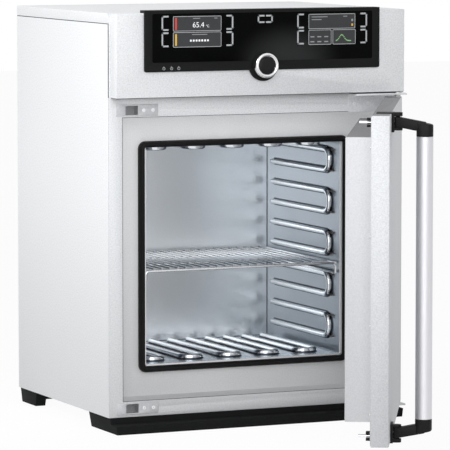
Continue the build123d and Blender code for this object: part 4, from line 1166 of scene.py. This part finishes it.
    def probe(self, shop: Workshop, finishes: Finishes) -> None:
        """Build the probe with its rounded tip and collar.

        Args:
            shop: The workshop.
            finishes: The finishes.
        """
        low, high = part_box("temperature_probe")
        x, z = (low.x + high.x) / 2, (low.z + high.z) / 2
        shape = bmesh.new()
        length = high.y - low.y
        collar = high.y - self.back
        turn = Matrix.Translation((x, high.y, z)) @ Matrix.Rotation(math.pi / 2, 4, "X")
        stem, rim = 1.9 * MM, 6.6 * MM
        profile = [(0.0, 0.0), (stem, 0.0), (stem, collar), (rim, collar), (rim, collar + 1.5 * MM),
                   (rim - 0.8 * MM, collar + 2.0 * MM), (stem, collar + 2.0 * MM), (stem, length - 1.5 * MM),
                   (stem - 0.7 * MM, length - 0.4 * MM), (0.0, length)]
        spin_profile(shape, profile, turn, steps=20)
        shop.piece("probe_with_round_tip", shape, [finishes.screw], "cabinet",
                   ["temperature_probe"])


@dataclass
class Shelf:
    """Wire shelf with bent end rods, side rods, cross rods and fine wires.

    Attributes:
        rod: Radius of the frame's rods.
        wire: Radius of a fine wire.
        pitch: Distance from wire to wire.
        wires: Number of wires.
        bend: Radius of the bends in the end rods.
        cad_rod: Radius of the rods in the CAD shelf.
        cross_rod: Radius of the two cross rods.
        overhang: How far a wire runs past the end rods.
    """

    rod: float = 2.4 * MM
    wire: float = 1.35 * MM
    pitch: float = 16.0 * MM
    wires: int = 23
    bend: float = 7.0 * MM
    cad_rod: float = 2.5 * MM
    cross_rod: float = 2.0 * MM
    overhang: float = 1.0 * MM

    def bent_rod(self, shape: bmesh.types.BMesh, half: float, y: float, low: float, high: float) -> None:
        """Add an end rod: up on the left, across and down on the right, with round bends.

        Args:
            shape: The shelf's mesh.
            half: Half of the shelf's width between the rod's middles.
            y: Place of the rod from front to back.
            low: Level of its ends.
            high: Level of its middle stretch.
        """
        before = set(shape.faces)
        bend = self.bend
        ring = bmesh.ops.create_circle(shape, segments=12, radius=self.rod, cap_ends=True,
                                       matrix=Matrix.Translation((-half, y, low)))["verts"]
        edges = list({edge for vert in ring for edge in vert.link_edges})
        for run, centre in (((0, 0, high - bend - low), (bend - half, y, high - bend)),
                            ((2 * (half - bend), 0, 0), (half - bend, y, high - bend))):
            made = bmesh.ops.extrude_edge_only(shape, edges=edges)["geom"]
            verts, edges = only_verts(made), only_edges(made)
            bmesh.ops.translate(shape, verts=verts, vec=run)
            made = bmesh.ops.spin(shape, geom=verts + edges, cent=centre, axis=(0, 1, 0), dvec=(0, 0, 0),
                                  angle=math.pi / 2, steps=6, use_duplicate=False)["geom_last"]
            edges = only_edges(made)
        made = bmesh.ops.extrude_edge_only(shape, edges=edges)["geom"]
        bmesh.ops.translate(shape, verts=only_verts(made), vec=(0, 0, low + bend - high))
        close_ends(shape, before)

    def build(self, shop: Workshop, finishes: Finishes) -> None:
        """Build the shelf from the CAD node's box.

        Args:
            shop: The workshop.
            finishes: The finishes.
        """
        low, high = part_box("shelf_grid")
        radius = self.cad_rod
        half = high.x - radius
        front, back = low.y + radius, high.y - radius
        bottom = low.z + radius
        top = high.z - 2 * self.wire - radius
        shape = bmesh.new()
        for y in (front, back):
            self.bent_rod(shape, half, y, bottom, top)
        for side in (-1, 1):
            add_rod(shape, (side * half, front, bottom), (side * half, back, bottom), self.rod, 12, 0.6 * MM)
            inner = side * (half - 0.2 * MM)
            add_rod(shape, (inner, front, top), (inner, back, top), self.rod, 12)
        for share in (1 / 3, 2 / 3):
            y = front + share * (back - front)
            add_rod(shape, (-half, y, top), (half, y, top), self.cross_rod, 10)
        level = top + self.rod + self.wire
        for index in range(self.wires):
            x = (index - (self.wires - 1) / 2) * self.pitch
            add_rod(shape, (x, front - self.overhang, level), (x, back + self.overhang, level), self.wire, 8,
                    0.5 * MM)
        shop.piece("wire_shelf", shape, [finishes.wire], "shelf", ["shelf_grid"],
                   smooth=50.0)


@dataclass
class Door:
    """Door shells, wool, screws, hinge bushes and latch guides.

    Attributes:
        edge: Rounding of the sheets' edges.
        moulded_edge: Rounding of the handle's bases.
        small_edge: Rounding of the bushes and pins.
        guide_edge: Rounding of the latch guides.
        angle: How far the door stands open at rest.
        screw_radius: Radius of a tray screw's head.
        screw_height: Height of a tray screw's head.
        screw_seat: How far the seat of the heads lies below the furthest point of the CAD screws.
    """

    edge: float = 0.5 * MM
    moulded_edge: float = 0.6 * MM
    small_edge: float = 0.3 * MM
    guide_edge: float = 0.4 * MM
    angle: float = math.radians(61.0)
    screw_radius: float = 3.0 * MM
    screw_height: float = 1.6 * MM
    screw_seat: float = 1.7 * MM

    def build(self, shop: Workshop, finishes: Finishes) -> None:
        """Build the door's pieces.

        Args:
            shop: The workshop.
            finishes: The finishes.
        """
        # The door's finish is a darker copy of the outer sheet, painted shade.
        shop.soften("door_outer_shell", finishes.door, self.edge, shaded=finishes.fold)
        shop.soften("door_inner_tray", finishes.tray, self.edge, shaded=finishes.fold)
        shop.dress("door_insulation", finishes.wool)
        shop.soften("door_hinge_bushes", finishes.pale, self.small_edge)
        shop.soften("latch_guides", finishes.black, self.guide_edge)
        for node in ("upper_handle_base", "lower_handle_base"):
            shop.soften(node, finishes.black, self.moulded_edge)
        shop.soften("handle_pins", finishes.black, self.small_edge)
        self.screws(shop, finishes)

    def screws(self, shop: Workshop, finishes: Finishes) -> None:
        """Build the inner tray's screws along the free edge.

        Args:
            shop: The workshop.
            finishes: The finishes.
        """
        outward = Vector((-math.sin(self.angle), math.cos(self.angle), 0.0))
        points = [vert.co for vert in frame["nodes"]["door_tray_screws"].data.vertices]
        reach = max(outward.dot(Vector((point.x, point.y, 0.0))) for point in points)
        places = []
        for low, high in solid_boxes("door_tray_screws"):
            middle = (low + high) / 2
            flat = Vector((middle.x, middle.y, 0.0))
            places.append(middle + outward * (reach - outward.dot(flat) - self.screw_seat))
        screws = ScrewRow("door_tray_screws", places, outward, self.screw_radius, self.screw_height)
        screws.build(shop, finishes.screw, finishes.heater)


@dataclass
class Handle:
    """Bar handle with its two arms and latch hooks.

    Attributes:
        arm_edge: Rounding of the arms.
        radius: Radius of the tube.
        tube_wall: Thickness of the tube's wall.
        tube_lip: Bevel at the tube's ends.
        tube_reach: Distance from the pivot to the tube's middle.
        width: Half of a beam's width.
        pivot: Place of the handle's pivot in plan.
        outward: Direction from the pivot to the tube in plan.
        mirror_level: Twice the level about which the lower arm mirrors the upper.
        beam: Outline of the upper beam, as distance from the pivot and level, in millimetres.
        elbow: Lower and upper level of the elbow on the tube.
        elbow_slope: How far the elbow's top falls on its outer side.
        elbow_corner: Radius of the elbow's upright corners.
    """

    arm_edge: float = 2.2 * MM
    radius: float = 14.5 * MM
    tube_wall: float = 2.0 * MM
    tube_lip: float = 0.6 * MM
    tube_reach: float = 45.2 * MM
    width: float = 10.0 * MM
    pivot: Span = (56.41 * MM, -450.62 * MM)
    outward: Span = (0.8746, -0.4852)
    mirror_level: float = 626.2 * MM
    beam: tuple = ((-6.5, 591.9), (48.0, 581.6), (48.0, 570.0), (30.0, 567.2), (10.0, 571.2), (-6.5, 572.4))
    elbow: Span = (557.6 * MM, 583.0 * MM)
    elbow_slope: float = 5.2 * MM
    elbow_corner: float = 11.0 * MM

    def add_beam(self, shape: bmesh.types.BMesh) -> None:
        """Add the beam from the pivot to the tube, along the local X axis.

        Args:
            shape: The piece's mesh.
        """
        verts = [shape.verts.new((along * MM, -self.width, level * MM)) for along, level in self.beam]
        flank = shape.faces.new(verts)
        made = bmesh.ops.extrude_face_region(shape, geom=[flank])["geom"]
        bmesh.ops.translate(shape, verts=only_verts(made), vec=(0, 2 * self.width, 0))
        bmesh.ops.recalc_face_normals(shape, faces=shape.faces)
        bmesh.ops.bevel(shape, geom=list(shape.edges), offset=self.arm_edge, offset_type="OFFSET", segments=3,
                        profile=0.5, affect="EDGES", clamp_overlap=True, material=-1)

    def add_elbow(self, shape: bmesh.types.BMesh) -> None:
        """Add the rounded elbow that sits on the tube.

        Args:
            shape: The piece's mesh.
        """
        tube, radius = self.tube_reach, self.radius
        low, high = self.elbow
        block = add_box(shape, (tube - radius, -radius, low), (tube + radius, radius, high))
        outer = [vert for vert in block if vert.co.x > tube and vert.co.z > (low + high) / 2]
        bmesh.ops.translate(shape, verts=outer, vec=(0, 0, -self.elbow_slope))
        edges = {edge for vert in block for edge in vert.link_edges}
        upright = [edge for edge in edges if abs(edge.verts[0].co.z - edge.verts[1].co.z) > 15 * MM]
        bmesh.ops.bevel(shape, geom=upright, offset=self.elbow_corner, offset_type="OFFSET", segments=6,
                        profile=0.5, affect="EDGES", material=-1)
        shape.normal_update()
        inner, level = tube - radius - MM, high - self.elbow_slope - 0.8 * MM
        crown = [edge for edge in shape.edges
                 if len(edge.link_faces) == 2 and min(vert.co.z for vert in edge.verts) > level
                 and min(vert.co.x for vert in edge.verts) > inner and edge.calc_face_angle(0.0) > 1.0]
        bmesh.ops.bevel(shape, geom=crown, offset=self.arm_edge, offset_type="OFFSET", segments=3, profile=0.5,
                        affect="EDGES", clamp_overlap=True, material=-1)

    def arm(self, shop: Workshop, finishes: Finishes, lower: bool) -> None:
        """Build one arm: a beam from the pivot and an elbow on the tube.

        Args:
            shop: The workshop.
            finishes: The finishes.
            lower: Whether it is the lower arm.
        """
        shape = bmesh.new()
        self.add_beam(shape)
        self.add_elbow(shape)
        along, aside = self.outward
        turn = Matrix.Translation((*self.pivot, 0.0)) @ Matrix.Rotation(math.atan2(aside, along), 4, "Z")
        bmesh.ops.transform(shape, matrix=turn, verts=shape.verts)
        if lower:
            flip = Matrix.Translation((0, 0, self.mirror_level)) @ Matrix.Diagonal((1.0, 1.0, -1.0, 1.0))
            bmesh.ops.transform(shape, matrix=flip, verts=shape.verts)
            bmesh.ops.reverse_faces(shape, faces=shape.faces)
        node = "lower_handle_arm" if lower else "upper_handle_arm"
        shop.piece(node + "_rounded", shape, [finishes.black], "handle", [node])

    def build(self, shop: Workshop, finishes: Finishes) -> None:
        """Build the handle's pieces.

        Args:
            shop: The workshop.
            finishes: The finishes.
        """
        self.arm(shop, finishes, False)
        self.arm(shop, finishes, True)
        shop.soften("latch_hooks", finishes.wire, 0.3 * MM)
        low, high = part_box("handle_tube")
        middle = Vector(((low.x + high.x) / 2, (low.y + high.y) / 2, low.z))
        length = high.z - low.z
        inner, lip = self.radius - self.tube_wall, self.tube_lip
        profile = [(inner, 0.0), (self.radius - lip, 0.0), (self.radius, lip), (self.radius, length - lip),
                   (self.radius - lip, length), (inner, length), (inner, 0.0)]
        shape = bmesh.new()
        spin_profile(shape, profile, Matrix.Translation(middle), steps=64)
        shop.piece("round_handle_tube", shape, [finishes.tube], "handle",
                   ["handle_tube"], smooth=40.0)


@dataclass
class Display:
    """Bezel, dark pane and what is lit or printed on it.

    Attributes:
        relief: Height of one printed layer over the pane.
        line: Width of a key bracket's line, in millimetres.
        arm: Length of a key bracket's arms, in millimetres.
        symbol_level: Level of the middle of the bezel's symbols, in millimetres.
        front: Y of the pane's front face, known once the pane is built.
    """

    relief: float = 0.06 * MM
    line: float = 2.9
    arm: float = 13.5
    symbol_level: float = 658.5
    front: float = 0.0

    def build(self, shop: Workshop, finishes: Finishes) -> None:
        """Build the display's pieces.

        Args:
            shop: The workshop.
            finishes: The finishes.
        """
        shop.soften("display_bezel", finishes.bezel, 0.7 * MM, 3, sharp=24.0)
        shop.soften("display_glass", finishes.glass, 0.3 * MM, 2)
        shop.dress("display_modules", finishes.pale)
        self.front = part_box("display_glass")[0].y
        self.fields(shop, finishes)
        self.keys(shop, finishes)
        self.readings(shop, finishes)
        self.symbols(shop, finishes)

    def plate(self, shape: bmesh.types.BMesh, x0: float, x1: float, z0: float, z1: float,
              corner: float = 0.0, material: int = 0, layer: int = 1) -> None:
        """Add a thin printed plate on the pane, all but its last two values in millimetres.

        Args:
            shape: The mesh it goes into.
            x0: Its left edge.
            x1: Its right edge.
            z0: Its lower edge.
            z1: Its upper edge.
            corner: Radius of its corners.
            material: Material number of its faces.
            layer: Which printed layer it is on, counted from the pane.
        """
        depth = self.relief * layer
        add_plate(shape, (x0 * MM, x1 * MM), (z0 * MM, z1 * MM), self.front - depth, depth + 0.02 * MM,
                  corner * MM, material)

    def fields(self, shop: Workshop, finishes: Finishes) -> None:
        """Build the display's fields, each with a pale rim.

        Args:
            shop: The workshop.
            finishes: The finishes.
        """
        shape = bmesh.new()
        for x0, x1, z0, z1 in ((-179.0, -84.2, 724.8, 751.8), (-179.0, -84.2, 696.0, 723.2),
                               (89.8, 184.3, 724.8, 752.0), (89.8, 136.1, 696.0, 723.2),
                               (138.5, 185.1, 696.0, 723.2)):
            self.plate(shape, x0, x1, z0, z1, 2.0, 1)
            self.plate(shape, x0 + 1.0, x1 - 1.0, z0 + 1.0, z1 - 1.0, 1.2, 0, 2)
        shop.piece("display_fields", shape, [finishes.tile, finishes.key], "cabinet")

    def bracket(self, shape: bmesh.types.BMesh, x: float, z0: float, z1: float, way: int) -> None:
        """Add a key's square bracket that opens to the left or the right.

        Args:
            shape: The keys' mesh.
            x: Place of its upright stroke, in millimetres.
            z0: Its lower end.
            z1: Its upper end.
            way: 1 where it opens to the right, -1 to the left.
        """
        line = self.line
        reach = x + way * self.arm
        self.plate(shape, min(x, x + way * line), max(x, x + way * line), z0, z1, 0.6)
        for z in (z0, z1 - line):
            self.plate(shape, min(x, reach), max(x, reach), z, z + line, 0.6)

    def keys(self, shop: Workshop, finishes: Finishes) -> None:
        """Build the brackets of the touch keys and the menu key.

        Args:
            shop: The workshop.
            finishes: The finishes.
        """
        shape = bmesh.new()
        for z0, z1 in ((726.2, 753.0), (697.0, 723.4)):
            for x, way in ((-201.3, 1), (-60.6, -1), (67.0, 1), (208.6, -1)):
                self.bracket(shape, x, z0, z1, way)
        self.bracket(shape, -12.1, 737.3, 751.9, 1)
        self.bracket(shape, 17.9, 737.3, 751.9, -1)
        shop.piece("touch_key_brackets", shape, [finishes.key], "cabinet")

    def figures(self, text: str, size: float, x: float, z: float, name: str, material: bpy.types.Material,
                shop: Workshop) -> None:
        """Build lit figures on a field.

        Args:
            text: The figures.
            size: Their height in millimetres.
            x: Their left edge.
            z: Their foot.
            name: The piece's name.
            material: Their finish.
            shop: The workshop.
        """
        curve = bpy.data.curves.new(name + "_outline", "FONT")
        curve.body = text
        curve.size = size * MM * 1.35
        curve.extrude = 0.03 * MM
        carrier = bpy.data.objects.new(name + "_outline", curve)
        bpy.context.scene.collection.objects.link(carrier)
        bpy.context.view_layer.update()
        mesh = bpy.data.meshes.new_from_object(carrier.evaluated_get(bpy.context.evaluated_depsgraph_get()))
        shape = bmesh.new()
        shape.from_mesh(mesh)
        bpy.data.objects.remove(carrier)
        bpy.data.curves.remove(curve)
        bpy.data.meshes.remove(mesh)
        place = Matrix.Translation((x * MM, self.front - 3 * self.relief, z * MM))
        bmesh.ops.transform(shape, matrix=place @ Matrix.Rotation(math.pi / 2, 4, "X"), verts=shape.verts)
        bmesh.ops.remove_doubles(shape, verts=shape.verts, dist=FINE_MERGE)
        shop.piece(name, shape, [material], "cabinet")

    def readings(self, shop: Workshop, finishes: Finishes) -> None:
        """Build what the fields show: figures, bars, lines and a small curve.

        Args:
            shop: The workshop.
            finishes: The finishes.
        """
        self.figures("65.4", 10.0, -141.0, 731.5, "temperature_figures", finishes.white_light, shop)
        self.figures("°C", 4.5, -115.0, 731.5, "temperature_unit", finishes.white_light, shop)
        shape = bmesh.new()
        self.plate(shape, -175.0, -171.5, 727.0, 749.0, 0.8, 1, 3)
        self.plate(shape, -175.0, -171.5, 699.0, 720.0, 0.8, 2, 3)
        for x0, x1, z in ((-140.0, -126.0, 747.0), (-98.0, -92.0, 747.0), (-142.0, -112.0, 718.0),
                          (96.0, 128.0, 746.0), (96.0, 116.0, 741.0), (160.0, 168.0, 746.5)):
            self.plate(shape, x0, x1, z, z + 1.3, 0.3, 0, 3)
        for step in range(7):
            x = -146.0 + step * 5.6
            self.plate(shape, x, x + 3.4, 706.0, 709.6, 0.4, 3, 3)
        for column in range(3):
            for row in range(2):
                x, z = 93.5 + column * 14.0, 700.5 + row * 9.0
                self.plate(shape, x, x + 8.0, z, z + 2.0, 0.4, 0, 3)
        self.plate(shape, 176.5, 180.0, 729.5, 733.5, 0.6, 2, 3)
        self.plate(shape, 176.5, 180.0, 738.0, 742.0, 0.6, 0, 3)
        for step in range(14):
            x = 145.0 + step * 2.2
            rise = 11.0 * math.exp(-((step - 5.0) / 3.0) ** 2)
            self.plate(shape, x, x + 2.3, 701.5 + rise, 703.3 + rise, 0.0, 4, 3)
        lights = [finishes.grey_light, finishes.red_light, finishes.amber_light, finishes.white_light,
                  finishes.green_light]
        shop.piece("display_readings", shape, lights, "cabinet")

    def symbols(self, shop: Workshop, finishes: Finishes) -> None:
        """Build three small symbols on the bezel, each a ring with an upright bar.

        Args:
            shop: The workshop.
            finishes: The finishes.
        """
        shape = bmesh.new()
        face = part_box("display_bezel")[0].y
        inner, outer, rise = 2.0 * MM, 2.7 * MM, self.relief
        profile = [(inner, 0.0), (outer, 0.0), (outer, rise), (inner, rise), (inner, 0.0)]
        level, half_bar, bar = self.symbol_level * MM, 0.35 * MM, 4.0 * MM
        for x in (-197.0 * MM, -182.0 * MM, -168.0 * MM):
            matrix = Matrix.Translation((x, face - 0.02 * MM, level)) @ Matrix.Rotation(math.pi / 2, 4, "X")
            spin_profile(shape, profile, matrix, steps=20)
            add_plate(shape, (x - half_bar, x + half_bar), (level, level + bar), face - 0.08 * MM, rise)
        shop.piece("bezel_symbols", shape, [finishes.key], "cabinet")


@dataclass
class Knob:
    """Turning ring with its dark face and the switch behind it.

    Attributes:
        outer: Outer radius of the ring.
        inner: Radius of the dark face.
        depth: Depth of the ring.
        bore: Radius of the ring's bore.
        sunk: How deep the dark face's seat lies in the ring.
        cap_gap: Gap round the dark face.
    """

    outer: float = 23.1 * MM
    inner: float = 16.4 * MM
    depth: float = 15.5 * MM
    bore: float = 3.0 * MM
    sunk: float = 5.0 * MM
    cap_gap: float = 0.25 * MM

    def build(self, shop: Workshop, finishes: Finishes) -> None:
        """Build the knob's pieces.

        Args:
            shop: The workshop.
            finishes: The finishes.
        """
        low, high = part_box("knob_ring")
        centre = Vector(((low.x + high.x) / 2, high.y, (low.z + high.z) / 2))
        turn = Matrix.Translation(centre) @ Matrix.Rotation(math.pi / 2, 4, "X")
        outer, inner, depth, bore = self.outer, self.inner, self.depth, self.bore
        sunk = depth - self.sunk
        profile = [(bore, 0.0), (outer - 1.0 * MM, 0.0), (outer - 0.2 * MM, 0.4 * MM), (outer, 1.5 * MM),
                   (outer, depth - 4.0 * MM), (outer - 0.5 * MM, depth - 2.0 * MM),
                   (outer - 2.0 * MM, depth - 0.5 * MM), (outer - 4.0 * MM, depth),
                   (inner + 2.2 * MM, depth - 0.3 * MM), (inner + 0.6 * MM, depth - 1.2 * MM),
                   (inner, depth - 2.4 * MM), (inner, sunk), (bore, sunk), (bore, 0.0)]
        shape = bmesh.new()
        spin_profile(shape, profile, turn, steps=72)
        shop.piece("rounded_knob_ring", shape, [finishes.chrome], "knob", ["knob_ring"],
                   smooth=60.0)
        cap = inner - self.cap_gap
        profile = [(0.0, sunk), (cap, sunk), (cap, depth - 2.2 * MM), (cap - 0.5 * MM, depth - 1.8 * MM),
                   (cap * 0.5, depth - 1.55 * MM), (0.0, depth - 1.5 * MM)]
        shape = bmesh.new()
        spin_profile(shape, profile, turn, steps=48)
        shop.piece("dark_knob_face", shape, [finishes.cap], "knob", ["knob_cap"],
                   smooth=40.0)
        shop.dress("knob_shaft", finishes.screw)
        shop.dress("encoder_plunger", finishes.screw)
        shop.dress("encoder_housing", finishes.black)


@dataclass
class Rear:
    """Rear sheet with its screws, mains inlet, vent pipe, flap and motor.

    Attributes:
        edge: Rounding of the sheet's edges.
        pipe: Outer and inner radius of the vent pipe.
    """

    edge: float = 0.3 * MM
    pipe: Span = (12.0 * MM, 11.0 * MM)

    def build(self, shop: Workshop, finishes: Finishes) -> None:
        """Build the rear's pieces.

        Args:
            shop: The workshop.
            finishes: The finishes.
        """
        shop.soften("rear_panel", finishes.zinc, self.edge)
        boxes = solid_boxes("rear_panel_screws")
        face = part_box("rear_panel")[1].y
        places = [Vector(((low.x + high.x) / 2, face, (low.z + high.z) / 2)) for low, high in boxes]
        ScrewRow("rear_panel_screws", places, Vector((0, 1, 0))).build(shop, finishes.screw, finishes.heater)
        shop.soften("power_inlet", finishes.black, self.edge)
        shop.dress("flap_motor", finishes.black)
        shop.dress("vent_flap", finishes.zinc)
        low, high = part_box("vent_pipe")
        centre = Vector(((low.x + high.x) / 2, low.y, (low.z + high.z) / 2))
        length = high.y - low.y
        turn = Matrix.Translation(centre) @ Matrix.Rotation(-math.pi / 2, 4, "X")
        outer, inner = self.pipe
        profile = [(inner, 0.0), (outer, 0.0), (outer, length - 3 * MM), (outer - 0.1 * MM, length),
                   (inner + 0.1 * MM, length), (inner, length - 1 * MM), (inner, 0.0)]
        shape = bmesh.new()
        spin_profile(shape, profile, turn, steps=48)
        shop.piece("round_vent_pipe", shape, [finishes.bright], "cabinet", ["vent_pipe"],
                   smooth=40.0)


class Works:
    """Inner pieces that a closed oven hides: boards and wool."""

    def build(self, shop: Workshop, finishes: Finishes) -> None:
        """Dress the inner pieces.

        Args:
            shop: The workshop.
            finishes: The finishes.
        """
        for node in ("control_board", "power_board"):
            shop.dress(node, finishes.board)
        for side in ("left", "right", "top", "bottom", "rear"):
            shop.dress("insulation_" + side, finishes.wool)


@dataclass
class Studio:
    """Camera, lamps, pale floor and white surroundings.

    Attributes:
        place: Place of the camera.
        yaw: Turn of the camera from straight back towards the right, in degrees.
        pitch: Tilt of the camera down, in degrees.
        lens: Focal length on the sensor, in millimetres.
        sensor: Width of the sensor, in millimetres.
        floor: Half of the floor's width.
    """

    place: Colour = (-2.77085, -6.01348, 0.990235)
    yaw: float = 24.20863
    pitch: float = 5.36921
    lens: float = 291.4264
    sensor: float = 36.0
    floor: float = 12.0

    def camera(self) -> None:
        """Make the camera at the photograph's view."""
        data = bpy.data.cameras.new("front_left_camera")
        data.lens = self.lens
        data.sensor_width = self.sensor
        data.clip_end = 100.0
        camera = bpy.data.objects.new("front_left_camera", data)
        camera.location = self.place
        camera.rotation_euler = (math.radians(90.0 - self.pitch), 0.0, -math.radians(self.yaw))
        bpy.context.scene.collection.objects.link(camera)
        bpy.context.scene.camera = camera

    def lamp(self, name: str, place: Colour, target: Colour, size: float, power: float) -> None:
        """Make a soft square lamp.

        Args:
            name: Its name.
            place: Where it is.
            target: Where it points.
            size: Length of its sides.
            power: Its power in watts.
        """
        data = bpy.data.lights.new(name, "AREA")
        data.size = size
        data.energy = power
        lamp = bpy.data.objects.new(name, data)
        lamp.location = place
        lamp.rotation_euler = (Vector(target) - Vector(place)).to_track_quat("-Z", "Y").to_euler()
        bpy.context.scene.collection.objects.link(lamp)

    def seen(self, nodes: bpy.types.Nodes, links: bpy.types.NodeLinks) -> bpy.types.NodeSocket:
        """Join the rays that show the background.

        Args:
            nodes: The nodes of the tree.
            links: The links of the tree.

        Returns:
            A socket that is 1 for camera, glossy and transmission rays.
        """
        path = nodes.new("ShaderNodeLightPath")
        first = nodes.new("ShaderNodeMath")
        first.operation = "MAXIMUM"
        second = nodes.new("ShaderNodeMath")
        second.operation = "MAXIMUM"
        links.new(path.outputs["Is Camera Ray"], first.inputs[0])
        links.new(path.outputs["Is Glossy Ray"], first.inputs[1])
        links.new(first.outputs[0], second.inputs[0])
        links.new(path.outputs["Is Transmission Ray"], second.inputs[1])
        return second.outputs[0]

    def surroundings(self) -> None:
        """Make the white world and the pale floor."""
        world = bpy.data.worlds.new("white_studio")
        world.use_nodes = True
        nodes, links = world.node_tree.nodes, world.node_tree.links
        soft = nodes["Background"]
        soft.inputs["Color"].default_value = (0.93, 0.96, 1.0, 1.0)
        soft.inputs["Strength"].default_value = 0.32
        white = nodes.new("ShaderNodeBackground")
        white.inputs["Color"].default_value = (1.0, 1.0, 1.0, 1.0)
        white.inputs["Strength"].default_value = 1.0
        mix = nodes.new("ShaderNodeMixShader")
        links.new(self.seen(nodes, links), mix.inputs["Fac"])
        links.new(soft.outputs[0], mix.inputs[1])
        links.new(white.outputs[0], mix.inputs[2])
        links.new(mix.outputs[0], nodes["World Output"].inputs["Surface"])
        bpy.context.scene.world = world
        shape = bmesh.new()
        bmesh.ops.create_grid(shape, x_segments=1, y_segments=1, size=self.floor)
        mesh = bpy.data.meshes.new("pale_floor")
        shape.to_mesh(mesh)
        shape.free()
        material = bpy.data.materials.new("pale_floor")
        material.use_nodes = True
        nodes, links = material.node_tree.nodes, material.node_tree.links
        shader = nodes["Principled BSDF"]
        shader.inputs["Base Color"].default_value = (0.9, 0.9, 0.9, 1.0)
        shader.inputs["Roughness"].default_value = 0.7
        shader.inputs["Specular IOR Level"].default_value = 0.1
        light = nodes.new("ShaderNodeEmission")
        light.inputs["Strength"].default_value = 1.0
        share = nodes.new("ShaderNodeMath")
        share.operation = "MULTIPLY"
        share.inputs[1].default_value = 0.95
        links.new(self.seen(nodes, links), share.inputs[0])
        mix = nodes.new("ShaderNodeMixShader")
        links.new(share.outputs[0], mix.inputs["Fac"])
        links.new(shader.outputs[0], mix.inputs[1])
        links.new(light.outputs[0], mix.inputs[2])
        links.new(mix.outputs[0], nodes["Material Output"].inputs["Surface"])
        mesh.materials.append(material)
        floor = bpy.data.objects.new("pale_floor", mesh)
        bpy.context.scene.collection.objects.link(floor)

    def build(self) -> None:
        """Build the studio."""
        bpy.context.scene.view_settings.view_transform = "Standard"
        self.camera()
        self.surroundings()
        self.lamp("upper_left_lamp", (-3.0, 0.0, 2.4), (-0.2, 0.15, 0.5), 1.4, 62.0)
        self.lamp("front_lamp", (-1.1, -2.9, 1.5), (0.0, 0.3, 0.45), 2.6, 42.0)


def main() -> None:
    """Build every sub-assembly and the studio, in order."""
    logging.basicConfig(level=logging.INFO, format="%(name)s %(message)s")
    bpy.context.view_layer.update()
    finishes = Finishes()
    shop = Workshop()
    for part in (Housing(), Chamber(), Shelf(), Door(), Handle(), Display(), Knob(), Rear(), Works()):
        part.build(shop, finishes)
    Studio().build()
    LOG.info("%d new pieces", shop.count)


if __name__ == "__main__":
    main()
